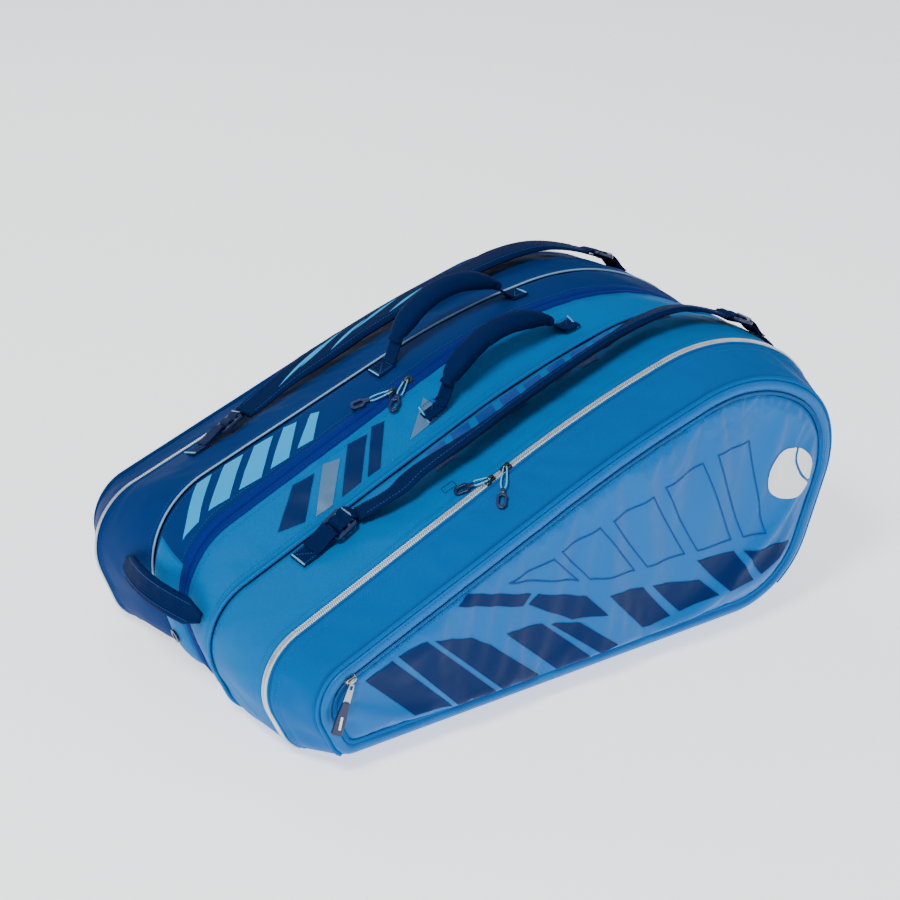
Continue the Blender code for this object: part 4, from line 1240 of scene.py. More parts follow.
BACK_HEIGHTS = [
    (0.0, 0.0118), (0.45, 0.0110), (0.78, 0.0092), (0.90, 0.0068), (0.96, 0.0044), (1.0, 0.0012),
]
back, _ = bulging_panel(
    "back_cloth", B_Y, 1.0, 0.0022, BACK_HEIGHTS, dark_cloth, "back_lid", "dark_blue_fabric",
    ["back_lid_panel"], back_bumps, 0.0070,
)
refine(back)
thicken(back, 0.0022, lining_cloth)
apply_modifiers(back)


def quilted(name, y, body, node, inset=0.0036):
    """Padded divider with quilting lines on both faces."""
    def bumps(x, z, scale, run, place):
        first = np.abs(np.sin((x + z) * math.pi / 0.045))
        second = np.abs(np.sin((x - z) * math.pi / 0.045))
        return 0.0011 * np.minimum(1.0, 3.0 * np.minimum(first, second)) ** 0.7

    flat = [(0.0, 0.0006), (1.0, 0.0006)]
    for side, sense in (("near", -1.0), ("far", 1.0)):
        bulging_panel("%s_%s_face" % (name, side), y, sense, inset, flat, lining_cloth, body,
                      "lining_fabric", [node], bumps, 0.0090)


quilted("front_divider", D1_Y, "front_unit", "front_divider_panel")
quilted("rear_divider", D2_Y, "center", "rear_divider_panel")

# The bottom of the middle compartment bends as the front unit leans away; here it is one fixed
# strip with a shallow fold.
bottom_planes = np.linspace(Z2_Y - 0.0046, Z2_Y + 0.0046, 9)
bottom_places, bottom_run = places_along((6.245 - 6.0, 1.255), 0.008)
upper = ring_grid(bottom_planes, bottom_places, 0.0006)
upper[..., 2] = np.maximum(upper[..., 2], 0.0003)
fold = np.sin(np.pi * (bottom_planes - bottom_planes[0]) / (bottom_planes[-1] - bottom_planes[0]))
upper = upper - grid_normals(upper) * (fold * 0.0022)[:, None, None]
rows_count, columns_count = upper.shape[:2]
uv = np.stack(
    [np.repeat(bottom_run[None, :], rows_count, axis=0),
     np.repeat(bottom_planes[:, None], columns_count, axis=1)], axis=-1,
).reshape(-1, 2)
strip = make("middle_bottom_fold", upper.reshape(-1, 3), grid_faces(rows_count, columns_count),
             lining_cloth, None, "lining_fabric", ["middle_bottom_strip"], uv)
thicken(strip, 0.0012)
apply_modifiers(strip)
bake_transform(strip)

plate("base_board_plate", [(-0.260, 0.0105), (0.190, 0.0105), (0.190, 0.0600), (-0.260, 0.0600)],
      (0.0, 0.0, 0.0050), (1.0, 0.0, 0.0), (0.0, 1.0, 0.0), 0.0020, board_plastic, "center",
      ["base_board"], 0.0005)


# ---------------------------------------------------------------- sliders and pulls
def zip_slider(name, origin, along, normal, body, metal):
    """Slider: lower plate, upper wedge-shaped plate and the bridge that holds the pull."""
    across = normal.cross(along).normalized()
    lower = [(-0.0062, -0.0030), (-0.0010, -0.0031), (0.0032, -0.0044), (0.0062, -0.0036),
             (0.0062, 0.0036), (0.0032, 0.0044), (-0.0010, 0.0031), (-0.0062, 0.0030)]
    plate(name + "_base", lower, origin + normal * 0.0007, along, across, 0.0013, metal, body,
          [name], 0.0003)
    upper = [(x * 0.95, y * 0.95) for x, y in lower]
    plate(name + "_cap", upper, origin + normal * 0.0026, along, across, 0.0014, metal, body,
          (), 0.0005)
    bridge = [
        origin + along * -0.0050 + normal * 0.0026,
        origin + along * -0.0046 + normal * 0.0046,
        origin + along * -0.0015 + normal * 0.0058,
        origin + along * 0.0020 + normal * 0.0054,
        origin + along * 0.0040 + normal * 0.0030,
    ]
    ribbon(name + "_bridge", bridge, across, 0.0014, 0.00055, metal, body, "slider_metal", (), 22,
           0.5)
    post = [(-0.0015, -0.0008), (0.0015, -0.0008), (0.0015, 0.0008), (-0.0015, 0.0008)]
    plate(name + "_post", post, origin + along * 0.0035 + normal * 0.0016, along, across, 0.0012,
          metal, body, (), 0.0002)


# name, x, plane, forward sense, tip x, tip y, tip lift
SLIDERS = (
    ("front_zip_slider_low", -0.084, Z1_Y, -1.0, -0.118, -0.150, 0.0030),
    ("front_zip_slider_high", -0.064, Z1_Y, 1.0, -0.092, -0.196, 0.0030),
    ("middle_zip_slider_low", -0.095, Z2_Y, -1.0, -0.137, 0.017, 0.0062),
    ("middle_zip_slider_high", -0.075, Z2_Y, 1.0, -0.108, -0.017, 0.0050),
    ("rear_zip_slider_low", -0.094, Z3_Y, -1.0, -0.146, 0.196, 0.0030),
    ("rear_zip_slider_high", -0.074, Z3_Y, 1.0, -0.112, 0.212, 0.0030),
)


def cord_pull(name, eye, root, tip, normal, body):
    """Loop of cord through the slider's bridge, with a hollow moulded tab on its end."""
    run = (tip - root).normalized()
    side = normal.cross(run).normalized()
    up = run.cross(side).normalized()
    length = (tip - root).length
    tab_start = length - 0.0185
    origin = root
    outline = [(0.0, -0.0016), (0.0045, -0.0056), (0.0150, -0.0054), (0.0185, -0.0022),
               (0.0185, 0.0022), (0.0150, 0.0054), (0.0045, 0.0056), (0.0, 0.0016)]
    hole = [(0.0052, -0.0026), (0.0135, -0.0026), (0.0150, 0.0), (0.0135, 0.0026),
            (0.0052, 0.0026), (0.0036, 0.0)]
    plate(name + "_tab", outline, origin + run * tab_start, run, side, 0.0030, navy_plastic, body,
          [name], 0.0006, [hole])
    neck = [(-0.0042, -0.0021), (0.0010, -0.0026), (0.0010, 0.0026), (-0.0042, 0.0021)]
    plate(name + "_neck", neck, origin + run * tab_start, run, side, 0.0034, navy_plastic, body,
          (), 0.0005)
    start = origin + run * (tab_start - 0.0030)
    bow = min(0.0030, 0.12 * length)
    loop = [
        start + side * 0.0012,
        start - run * (tab_start * 0.35) + side * bow + up * 0.0004,
        eye + run * 0.0030 + side * 0.0018,
        eye - run * 0.0008 + up * 0.0002,
        eye + run * 0.0030 - side * 0.0018,
        start - run * (tab_start * 0.35) - side * bow + up * 0.0004,
        start - side * 0.0012,
    ]
    cord, path = tube(
        name + "_cord", loop, 0.00085, cord_material, body, "navy_plastic", (), 64, 8
    )
    runs = np.linalg.norm(np.diff(path, axis=0), axis=1).sum()
    return cord, path, float(runs)


cord_lengths = {}
for slider_name, x, y, sense, tip_x, tip_y, tip_lift in SLIDERS:
    along, across, normal = top_frame(x, y)
    seat = on_top(x, y, 0.0016)
    pull_name = slider_name.replace("slider", "pull")
    zip_slider(slider_name, seat, along * sense, normal, slider_name, gunmetal)
    toward = Vector((tip_x - x, tip_y - y, 0.0)).normalized()
    reach = min(0.0055 / max(abs(toward.y), 0.25), 0.0105)
    root = on_top(x + toward.x * reach, y + toward.y * reach, 0.0058)
    tip = on_top(tip_x, tip_y, tip_lift)
    tip_normal = top_frame(tip_x, tip_y)[2]
    eye = seat + normal * 0.0046
    cord, path, length = cord_pull(pull_name, eye, root, tip, (normal + tip_normal).normalized(),
                                   pull_name)
    cord_lengths[pull_name] = length
    tuple(path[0])
    [tuple(map(float, point)) for point in path]

# Pocket slider, its plated pull and the fabric tab on it, here drawn in moulded plastic.
PULL_COS, PULL_SIN = math.cos(math.radians(11.0)), math.sin(math.radians(11.0))
pocket_x = -0.296
edge_spot, _ = outline_at(F_Y, 0.0154, 0.002)
upper_edge = edge_spot[(edge_spot[:, 1] > 0.06)]
order = np.argsort(np.abs(upper_edge[:, 0] - pocket_x))[:6]
pocket_z = float(upper_edge[order][:, 1].mean())
near = upper_edge[np.argsort(upper_edge[:, 0])]
slope_low = np.interp(pocket_x - 0.004, near[:, 0], near[:, 1])
slope_high = np.interp(pocket_x + 0.004, near[:, 0], near[:, 1])
pocket_run = Vector((0.008, 0.0, float(slope_high - slope_low))).normalized()
pocket_z = float(np.interp(pocket_x, near[:, 0], near[:, 1]))
pocket_seat = Vector((pocket_x, F_Y - 0.0050, pocket_z))
zip_slider("pocket_zip_slider", pocket_seat, -pocket_run, Vector((0.0, -1.0, 0.0)),
           "pocket_zip_slider", chrome)
pull_root = Vector((pocket_x - 0.0035, F_Y - 0.0050 - 0.0052, pocket_z - 0.0085))
pull_run = Vector((-0.50 * PULL_COS, -PULL_SIN, -0.866 * PULL_COS))
pull_side = Vector((-0.866, 0.0, 0.50))
plate("pocket_pull_plate",
      [(-0.0065, -0.0030), (0.0, -0.0040), (0.0165, -0.0048), (0.0190, -0.0030), (0.0190, 0.0030),
       (0.0165, 0.0048), (0.0, 0.0040), (-0.0065, 0.0030)],
      pull_root, pull_run, pull_side, 0.0014, chrome, "pocket_zip_pull",
      ["pocket_zip_pull"], 0.0004,
      [[(-0.0045, -0.0016), (-0.0008, -0.0016), (-0.0008, 0.0016), (-0.0045, 0.0016)],
       [(0.0115, -0.0028), (0.0150, -0.0028), (0.0150, 0.0028), (0.0115, 0.0028)]])
plate("pocket_pull_tab",
      [(0.0125, -0.0045), (0.0290, -0.0066), (0.0452, -0.0066), (0.0464, -0.0050),
       (0.0464, 0.0050), (0.0452, 0.0066), (0.0290, 0.0066), (0.0125, 0.0045)],
      pull_root, pull_run, pull_side, 0.0026, navy_plastic, "pocket_zip_pull",
      (), 0.0007)
plate("pocket_pull_dash",
      [(0.0270, -0.0010), (0.0400, -0.0026), (0.0400, 0.0002), (0.0270, 0.0018)],
      pull_root - Vector((0.0, 0.0014, 0.0)), pull_run, pull_side, 0.0004, print_white,
      "pocket_zip_pull", (), 0.0)


# ---------------------------------------------------------------- carry handles
def carry_handle(name, body, x_low, x_high, y, rise, tabs, owner):
    low, high = on_top(x_low, y, 0.0075), on_top(x_high, y, 0.0075)
    run = (high - low).normalized()
    side = Vector((0.0, 1.0, 0.0))
    up = run.cross(side).normalized()
    if up.z < 0:
        up = -up
    count = 72
    centres = []
    for step in range(count + 1):
        part = step / count
        centres.append(low.lerp(high, part) + up * rise * math.sin(math.pi * part) ** 0.62)
    ups = []
    for index in range(count + 1):
        before, after = centres[max(index - 1, 0)], centres[min(index + 1, count)]
        ups.append((after - before).normalized().cross(side).normalized())
    shape = oval(24, 0.8)
    rows = []
    for index, (centre, up_dir) in enumerate(zip(centres, ups)):
        part = index / count
        end = min(part, 1.0 - part)
        full = min(1.0, 5.0 * end)
        wide = 0.0092 + 0.0042 * full
        high_half = 0.0040 + 0.0058 * full
        bite = 1.0 - 0.30 * math.exp(-((end - 0.085) / 0.014) ** 2)
        ring_points = []
        for corner, (s, u) in enumerate(shape):
            angle = 2.0 * math.pi * corner / 24
            ripple = noise.noise(Vector(
                (part * 16.0, math.cos(angle) * 1.1, math.sin(angle) * 1.1 + y * 50)
            ))
            crimp = noise.noise(Vector((part * 70.0, math.cos(angle) * 1.5, 3.0)))
            swell = 1.0 + 0.05 * ripple + 0.05 * crimp * math.exp(-end / 0.08)
            groove = 1.0 - 0.10 * math.exp(-(((angle - 1.5 * math.pi) / 0.16) ** 2))
            ring_points.append(
                centre + side * (s * wide * swell * bite)
                + up_dir * (u * high_half * swell * groove * (0.75 + 0.25 * bite))
            )
        rows.append([tuple(point) for point in ring_points])
    sleeve = loft(name + "_sleeve", rows[4:-4], navy_sleeve, body, "navy_webbing", [name])
    for end_name, root, other, sign in (("low", centres[0], centres[8], -1.0),
                                        ("high", centres[-1], centres[-9], 1.0)):
        x_root = x_low if sign < 0 else x_high
        points = [
            other, root.lerp(other, 0.5) + ups[0 if sign < 0 else -1] * 0.0,
            root, on_top(x_root + sign * 0.0025, y, 0.0054),
            on_top(x_root + sign * 0.0062, y, 0.0041),
        ]
        ribbon("%s_root_%s" % (name, end_name), points, side, 0.0100, 0.0011, navy_webbing, body,
               "navy_webbing", (), 24)
    for (start, stop, node), end_name in zip(tabs, ("low", "high")):
        middle = (start + stop) / 2.0
        points = [on_top(x, y, 0.0023) for x in np.linspace(start, stop, 5)]
        ribbon("%s_cloth" % node, points, side, 0.0120, 0.0011, navy_webbing, owner,
               "navy_webbing", [node], 20)
        box = [(start + 0.0035, -0.0088), (stop - 0.0035, -0.0088), (stop - 0.0035, 0.0088),
               (start + 0.0035, 0.0088), (start + 0.0035, -0.0088), (stop - 0.0035, 0.0088)]
        line, ups_line = [], []
        for (xa, ya), (xb, yb) in zip(box, box[1:]):
            for part in np.linspace(0.0, 1.0, 9)[:-1]:
                px, py = xa + (xb - xa) * part, y + ya + (yb - ya) * part
                line.append(tuple(on_top(px, py, 0.0035)))
                ups_line.append(tuple(top_frame(px, py)[2]))
        stitches("%s_boxstitch" % node, line, ups_line, thread_dark, owner, "navy_webbing",
                 0.0022, 0.0009)
        edge_x = start + 0.0016 if end_name == "low" else stop - 0.0016
        line = [tuple(on_top(edge_x, y + part, 0.0036)) for part in np.linspace(-0.010, 0.010, 9)]
        ups_line = [tuple(top_frame(edge_x, y)[2])] * 9
        stitches("%s_bartack" % node, line, ups_line, thread_light, owner, "navy_webbing",
                 0.0009, 0.0002, 0.0009, 0.0004)


carry_handle("front_carry_handle", "front_handle", -0.058, 0.092, -0.041, 0.040,
             ((-0.084, -0.0610, "front_handle_tab_low"), (0.0950, 0.1150, "front_handle_tab_high")),
             "front_unit")
carry_handle("rear_carry_handle", "rear_handle", -0.066, 0.084, 0.044, 0.045,
             ((-0.092, -0.0690, "rear_handle_tab_low"), (0.0870, 0.1070, "rear_handle_tab_high")),
             "center")


# ---------------------------------------------------------------- shoulder straps
FRONT_STRAP_Y = ((-0.215, -0.094), (-0.150, -0.112), (-0.050, -0.120), (0.280, -0.112))
BACK_STRAP_Y = ((-0.215, 0.138), (-0.150, 0.142), (-0.050, 0.144), (0.280, 0.138))
FRONT_STRAP_LIFT = ((-0.205, 0.0080), (-0.120, 0.0200), (0.180, 0.0200), (0.275, 0.0090))
BACK_STRAP_LIFT = ((-0.205, 0.0080), (-0.120, 0.0145), (0.180, 0.0145), (0.275, 0.0090))


class Strap:
    """Padded shoulder strap: its line, its cross directions and its sizes along the way."""

    def __init__(self, y_points, lift_points, tilt, half_width, count=120):
        self.count = count
        xs = np.linspace(-0.200, 0.262, count + 1)
        self.parts = np.linspace(0.0, 1.0, count + 1)
        self.centres = [on_top(x, eased(y_points, x), eased(lift_points, x)) for x in xs]
        taper = np.minimum(1.0, 4.0 * np.minimum(self.parts, 1.0 - self.parts))
        taper = taper * taper * (3.0 - 2.0 * taper) * 0.35 + taper * 0.65
        self.wide = 0.0135 + (half_width - 0.0135) * taper
        self.high = 0.0018 + 0.0030 * taper
        self.side, self.up = [], []
        for index in range(count + 1):
            before = self.centres[max(index - 1, 0)]
            after = self.centres[min(index + 1, count)]
            run = (after - before).normalized()
            part = index / count
            ease = min(1.0, 3.0 * min(part, 1.0 - part))
            level = Vector((0.0, 0.0, 1.0)).cross(run).normalized()
            level = turned(level, run, tilt * ease)
            self.side.append(level)
            self.up.append(run.cross(level).normalized())

    def at(self, part, across, lift=0.0):
        """Point over the strap's upper face: across is -1..1 of its half width."""
        where = part * self.count
        low = min(int(where), self.count - 1)
        share = where - low
        centre = self.centres[low].lerp(self.centres[low + 1], share)
        side = self.side[low].lerp(self.side[low + 1], share)
        up = self.up[low].lerp(self.up[low + 1], share)
        wide = self.wide[low] + (self.wide[low + 1] - self.wide[low]) * share
        high = self.high[low] + (self.high[low + 1] - self.high[low]) * share
        crown = high * (1.0 - abs(across) ** 4.0) ** 0.5 if abs(across) < 1.0 else 0.0
        return centre + side * (across * wide) + up * (crown + lift), up


def shoulder_strap(name, body, strap):
    shape = oval(28, 0.5)
    rows = []
    for index in range(strap.count + 1):
        part = index / strap.count
        ring_points = []
        for corner, (s, u) in enumerate(shape):
            soft = noise.noise(Vector((part * 22.0, s * 1.3, u + strap.centres[0].y * 9)))
            fine = noise.noise(Vector((part * 75.0, s * 2.0, u)))
            pinch = 1.0 - 0.35 * math.exp(-(((abs(s) - 0.86) / 0.06) ** 2))
            lift = strap.high[index] * u * pinch * (1.0 + 0.10 * soft + 0.07 * fine)
            across = s * strap.wide[index] * (1.0 + 0.012 * soft)
            point = strap.centres[index] + strap.side[index] * across + strap.up[index] * lift
            ring_points.append(tuple(point))
        rows.append(ring_points)
    under = [1 if shape[corner][1] < -0.05 else 0 for corner in range(28)]
    piece = loft(name + "_pad", rows, [navy_sleeve, mesh_cloth], body, "navy_webbing", [name],
                 under)
    for side_name, sense in (("near", -1.0), ("far", 1.0)):
        centres, sides, ups = [], [], []
        for index in range(2, strap.count - 1):
            edge = sense * (strap.wide[index] - 0.0008)
            centres.append(strap.centres[index] + strap.side[index] * edge)
            sides.append(strap.side[index])
            ups.append(strap.up[index])
        size = len(centres)
        bar("%s_binding_%s" % (name, side_name), centres, sides, ups, [0.0020] * size,
            [0.0017] * size, navy_webbing, body, "navy_webbing", (), 8, 0.9)
        line, ups_line = [], []
        for part in np.linspace(0.02, 0.98, 160):
            point, up = strap.at(part, sense * 0.80, 0.0001)
            line.append(tuple(point))
            ups_line.append(tuple(up))
        stitches("%s_stitch_%s" % (name, side_name), line, ups_line, thread_dark, body,
                 "navy_webbing")
    return piece


front_strap = Strap(FRONT_STRAP_Y, FRONT_STRAP_LIFT, math.radians(-36.0), 0.0200)
back_strap = Strap(BACK_STRAP_Y, BACK_STRAP_LIFT, math.radians(-12.0), 0.0230)
shoulder_strap("front_shoulder_strap", "front_strap", front_strap)
shoulder_strap("back_shoulder_strap", "back_strap", back_strap)


def strap_print(name, strap, body, shapes, material):
    """Printed shapes on a strap, each an outline of (part, across) points."""
    vertices, faces = [], []
    for shape in shapes:
        flat = [(part * 0.46, across * 0.02) for part, across in shape]
        spots, triangles = fill_outline(flat, 0.004)
        base = len(vertices)
        for spot in spots:
            vertices.append(strap.at(spot.x / 0.46, spot.y / 0.02, 0.0004)[0])
        faces += [tuple(base + index for index in triangle) for triangle in triangles]
    return make(name, vertices, faces, material, body, "navy_webbing")


leaves = []
for start, reach, low, high in ((0.10, 0.16, -0.55, 0.45), (0.17, 0.15, -0.30, 0.62),
                                (0.25, 0.13, -0.62, 0.30), (0.33, 0.15, -0.20, 0.60),
                                (0.42, 0.12, -0.60, 0.15)):
    outline = []
    for t in np.linspace(0.0, 1.0, 12):
        outline.append((start + reach * t, low + (high - low) * t + 0.16 * math.sin(math.pi * t)))
    for t in np.linspace(1.0, 0.0, 12)[1:-1]:
        outline.append((start + reach * t, low + (high - low) * t - 0.10 * math.sin(math.pi * t)))
    leaves.append(outline)
strap_print("back_strap_print", back_strap, "back_strap", leaves, print_cyan)


# ---------------------------------------------------------------- strap adjusters
def adjuster(name, x, y, lift, pitch, body, sense, strap_end):
    """Ladder-lock with three bars, and the webbing that passes over and round them."""
    along, across, normal = top_frame(x, y)
    u_axis = turned(along, across, -pitch)
    up = u_axis.cross(across).normalized()
    origin = on_top(x, y, lift)
    frame_outline = [(-0.0165, -0.0150), (-0.0140, -0.0182), (-0.0110, -0.0190), (0.0090, -0.0190),
                     (0.0118, -0.0178), (0.0130, -0.0150), (0.0130, 0.0150), (0.0118, 0.0178),
                     (0.0090, 0.0190), (-0.0110, 0.0190), (-0.0140, 0.0182), (-0.0165, 0.0150)]
    slots = []
    for low, high in ((-0.0128, -0.0070), (-0.0030, 0.0022), (0.0058, 0.0100)):
        slots.append([(low, -0.0145), (high, -0.0145), (high, 0.0145), (low, 0.0145)])
    plate(name + "_frame", frame_outline, origin, u_axis, across, 0.0036, navy_plastic, body,
          [name], 0.0009, slots)
    lip = [origin + u_axis * u + up * h
           for u, h in ((0.0100, 0.0012), (0.0125, 0.0026), (0.0142, 0.0040))]
    ribbon(name + "_lip", lip, across, 0.0120, 0.0011, grey_plastic, body, "navy_plastic", (), 14,
           0.5)
    web = [origin + u_axis * (u * sense) + up * h for u, h in (
        (0.0200, -0.0006), (0.0150, 0.0022), (0.0110, 0.0034), (0.0078, 0.0026), (0.0045, 0.0012),
        (0.0008, 0.0030), (-0.0034, 0.0034), (-0.0060, 0.0016), (-0.0072, -0.0020),
        (-0.0030, -0.0036), (0.0040, -0.0034), (0.0120, -0.0040), (0.0200, -0.0046))]
    web[0] = web[0].lerp(strap_end, 0.85)
    ribbon(name + "_web", web, across, 0.0128, 0.0008, navy_webbing, body, "navy_webbing", (), 70)


for side_name, y_low, y_high, owner, strap in (
    ("front", -0.092, -0.112, "front_unit", front_strap),
    ("back", 0.137, 0.138, "center", back_strap),
):
    body = side_name + "_strap"
    adjuster(side_name + "_buckle_low", -0.218, y_low, 0.0085, math.radians(10.0), body, 1.0,
             strap.centres[0])
    adjuster(side_name + "_buckle_high", 0.283, y_high, 0.0100, 0.0, body, -1.0, strap.centres[-1])
    for end_name, x_patch, x_lift, x_buckle, y, buckle_lift, sense in (
        ("low", -0.272, -0.248, -0.2325, y_low, 0.0078, 1.0),
        ("high", 0.335, 0.312, 0.2975, y_high, 0.0096, -1.0),
    ):
        node = "%s_webbing_%s" % (side_name, end_name)
        along, across, normal = top_frame(x_buckle, y)
        points = [on_top(x_patch, y, 0.0024), on_top(x_patch * 0.5 + x_lift * 0.5, y, 0.0024),
                  on_top(x_lift, y, 0.0030),
                  on_top(x_buckle - sense * 0.004, y, buckle_lift - 0.0020),
                  on_top(x_buckle + sense * 0.0028, y, buckle_lift - 0.0030),
                  on_top(x_buckle + sense * 0.0052, y, buckle_lift),
                  on_top(x_buckle + sense * 0.0026, y, buckle_lift + 0.0030),
                  on_top(x_buckle - sense * 0.004, y, buckle_lift + 0.0012),
                  on_top(x_lift, y, 0.0056), on_top(x_lift * 0.7 + x_patch * 0.3, y, 0.0046)]
        ribbon(node + "_cloth", points, across, 0.0140, 0.0009, navy_webbing, owner,
               "navy_webbing", [node], 60)
        inner, outer = x_lift - sense * 0.004, x_patch + sense * 0.002
        line, ups_line = [], []
        box = [(inner, -0.0112), (outer, -0.0112), (outer, 0.0112), (inner, 0.0112),
               (inner, -0.0112), (outer, 0.0112)]
        for (xa, ya), (xb, yb) in zip(box, box[1:]):
            for part in np.linspace(0.0, 1.0, 9)[:-1]:
                px, py = xa + (xb - xa) * part, y + ya + (yb - ya) * part
                line.append(tuple(on_top(px, py, 0.0037)))
                ups_line.append(tuple(top_frame(px, py)[2]))
        stitches(node + "_boxstitch", line, ups_line, thread_dark, owner, "navy_webbing", 0.0022,
                 0.0009)
        line = [tuple(on_top(outer, y + part, 0.0036)) for part in np.linspace(-0.0125, 0.0125, 9)]
        stitches(node + "_bartack", line, [tuple(top_frame(outer, y)[2])] * 9, thread_light, owner,
                 "navy_webbing", 0.0009, 0.0002, 0.0010, 0.0004)


# ---------------------------------------------------------------- handle end
near_end, far_end = nose_point(0.118, -0.052, 0.0060), nose_point(0.118, 0.104, 0.0060)
rows = []
end_shape = oval(20, 0.34)
count = 60
end_centres = []
for step in range(count + 1):
    part = step / count
    end_centres.append(near_end.lerp(far_end, part)
                       + Vector((-0.80, 0.0, 0.25)) * (0.018 * math.sin(math.pi * part)))
for index in range(count + 1):
    part = index / count
    before, after = end_centres[max(index - 1, 0)], end_centres[min(index + 1, count)]
    run = (after - before).normalized()
    side = Vector((0.35, 0.0, 0.94))
    side = (side - run * run.dot(side)).normalized()
    up = run.cross(side).normalized()
    wide = 0.0060 + 0.0090 * min(1.0, 8.0 * min(part, 1.0 - part))
    fold = 1.0 + 0.25 * noise.noise(Vector((part * 9.0, 0.3, 0.0)))
    ring_points = []
    for s, u in end_shape:
        curl = 0.0013 * s * s * math.sin(math.pi * part)
        soft = 0.0007 * noise.noise(Vector((part * 14.0, s * 1.5, 2.0)))
        rib = 1.0 + 0.55 * math.exp(-(((abs(s) - 0.80) / 0.10) ** 2))
        ring_points.append(tuple(end_centres[index] + side * (s * wide)
                                 + up * (u * 0.0016 * fold * rib + curl + soft)))
    rows.append(ring_points)
loft("end_handle_webbing", rows, navy_webbing, "end_handle", "navy_webbing", ["end_grab_handle"])
for number, share in enumerate((-0.62, 0.62)):
    line, ups_line = [], []
    for index in range(5, count - 4):
        before, after = end_centres[index - 1], end_centres[index + 1]
        run = (after - before).normalized()
        side = Vector((0.35, 0.0, 0.94))
        side = (side - run * run.dot(side)).normalized()
        up = run.cross(side).normalized()
        if up.x > 0:
            up = -up
        line.append(tuple(end_centres[index] + side * (share * 0.015) + up * 0.0019))
        ups_line.append(tuple(up))
    stitches("end_handle_stitch_%d" % number, line, ups_line, thread_dark, "end_handle",
             "navy_webbing")

# Shoe pocket: a puffed cover with its own seam, and the vent eyelet.
shoe_places, shoe_run = places_along((5.26, 6.16), 0.0045)
shoe_planes = np.linspace(0.0095, 0.0585, 15)
grid = ring_grid(shoe_planes, shoe_places, 0.0)
across_part = (shoe_planes - shoe_planes[0]) / (shoe_planes[-1] - shoe_planes[0])
along_part = (shoe_run - shoe_run[0]) / (shoe_run[-1] - shoe_run[0])
puff_across = np.sin(np.pi * across_part) ** 0.55
puff_along = np.sin(np.pi * np.clip(along_part, 0, 1)) ** 0.30
puff = puff_across[:, None] * puff_along[None, :]
soft = soft_noise(grid, 0.02, 21.0) * 0.0009
grid = grid + grid_normals(grid) * (0.0004 + puff * (0.0072 + soft))[..., None]
rows_count, columns_count = grid.shape[:2]
uv = np.stack([np.repeat(shoe_run[None, :], rows_count, axis=0),
               np.repeat(shoe_planes[:, None], columns_count, axis=1)], axis=-1).reshape(-1, 2)
shoe = make("shoe_pocket_cloth", grid.reshape(-1, 3),
            grid_faces(rows_count, columns_count, False, True),
            sky_cloth, "center", "sky_fabric", ["shoe_pocket_cover"], uv)
shoe_surface = surface_of(shoe)
thicken(shoe, 0.0012, lining_cloth)
apply_modifiers(shoe)
for number, column_shift in enumerate((0.0130, 0.0550)):
    y = column_shift
    spot, normal = Ring(y).at(shoe_places)
    line, ups_line = [], []
    for (x, z), (nx, nz) in list(zip(spot, normal))[2:-2]:
        up = Vector((nx, 0.0, nz))
        hit, _, _, _ = shoe_surface.ray_cast(Vector((x, y, z)) + up * 0.02, -up, 0.05)
        if hit is not None:
            line.append(tuple(hit))
            ups_line.append(tuple(up))
    stitches("shoe_pocket_stitch_%d" % number, line, ups_line, thread_sky, "center", "sky_fabric")
eyelet_centre = nose_point(0.055, 0.0350, 0.0090)
eyelet_up = (nose_point(0.060, 0.0350, 0.0090) - eyelet_centre).normalized()
ring_outline = [(0.0088 * math.cos(a), 0.0064 * math.sin(a))
                for a in np.linspace(0, 2 * np.pi, 33)[:-1]]
ring_hole = [(0.0046 * math.cos(a), 0.0030 * math.sin(a))
             for a in np.linspace(0, 2 * np.pi, 25)[:-1]]
plate("vent_eyelet_ring", ring_outline, eyelet_centre, eyelet_up, (0.0, 1.0, 0.0), 0.0016,
      navy_plastic, "center", ["vent_eyelet"], 0.0004, [ring_hole])
plate("vent_eyelet_net", [(x * 1.4, y * 1.4) for x, y in ring_hole],
      eyelet_centre,
      eyelet_up, (0.0, 1.0, 0.0), 0.0005, mesh_cloth, "center", (), 0.0)


# ---------------------------------------------------------------- printed shapes
def densify(outline, spacing):
    points = []
    for (xa, ya), (xb, yb) in zip(outline, list(outline[1:]) + [outline[0]]):
        count = max(1, int(math.hypot(xb - xa, yb - ya) / spacing))
        points += [(xa + (xb - xa) * k / count, ya + (yb - ya) * k / count) for k in range(count)]
    return points


def stroke(start, end, width=0.0013):
    """Thin printed line as an outline."""
    (xa, ya), (xb, yb) = start, end
    length = math.hypot(xb - xa, yb - ya)
    nx, ny = -(yb - ya) / length * width / 2, (xb - xa) / length * width / 2
    ex, ey = (xb - xa) / length * width / 2, (yb - ya) / length * width / 2
    return [(xa - ex + nx, ya - ey + ny), (xa - ex - nx, ya - ey - ny),
            (xb + ex - nx, yb + ey - ny), (xb + ex + nx, yb + ey + ny)]


def framed(outline):
    """The sides of an outline as thin lines."""
    return [stroke(a, b) for a, b in zip(outline, list(outline[1:]) + [outline[0]])]


def printed(name, shapes, place, material, body, slot, spacing=0.0040):
    """Shapes laid on the cloth: each outline is filled with triangles and set on its surface."""
    vertices, faces = [], []
    for outline in shapes:
        spots, triangles = fill_outline(densify(outline, spacing), spacing)
        hits = [place(spot.x, spot.y) for spot in spots]
        base = len(vertices)
        vertices += [hit if hit is not None else Vector((0.0, 0.0, 0.1)) for hit in hits]
        faces += [
            tuple(base + index for index in triangle)
            for triangle in triangles
            if all(hits[index] is not None for index in triangle)
        ]
    uv = [(vertex.x, vertex.z) for vertex in vertices]
    return make(name, vertices, faces, material, body, slot, (), uv)


def on_pocket(x, z):
    return cast_front(x, z, pocket_surface, 0.0008)[0]


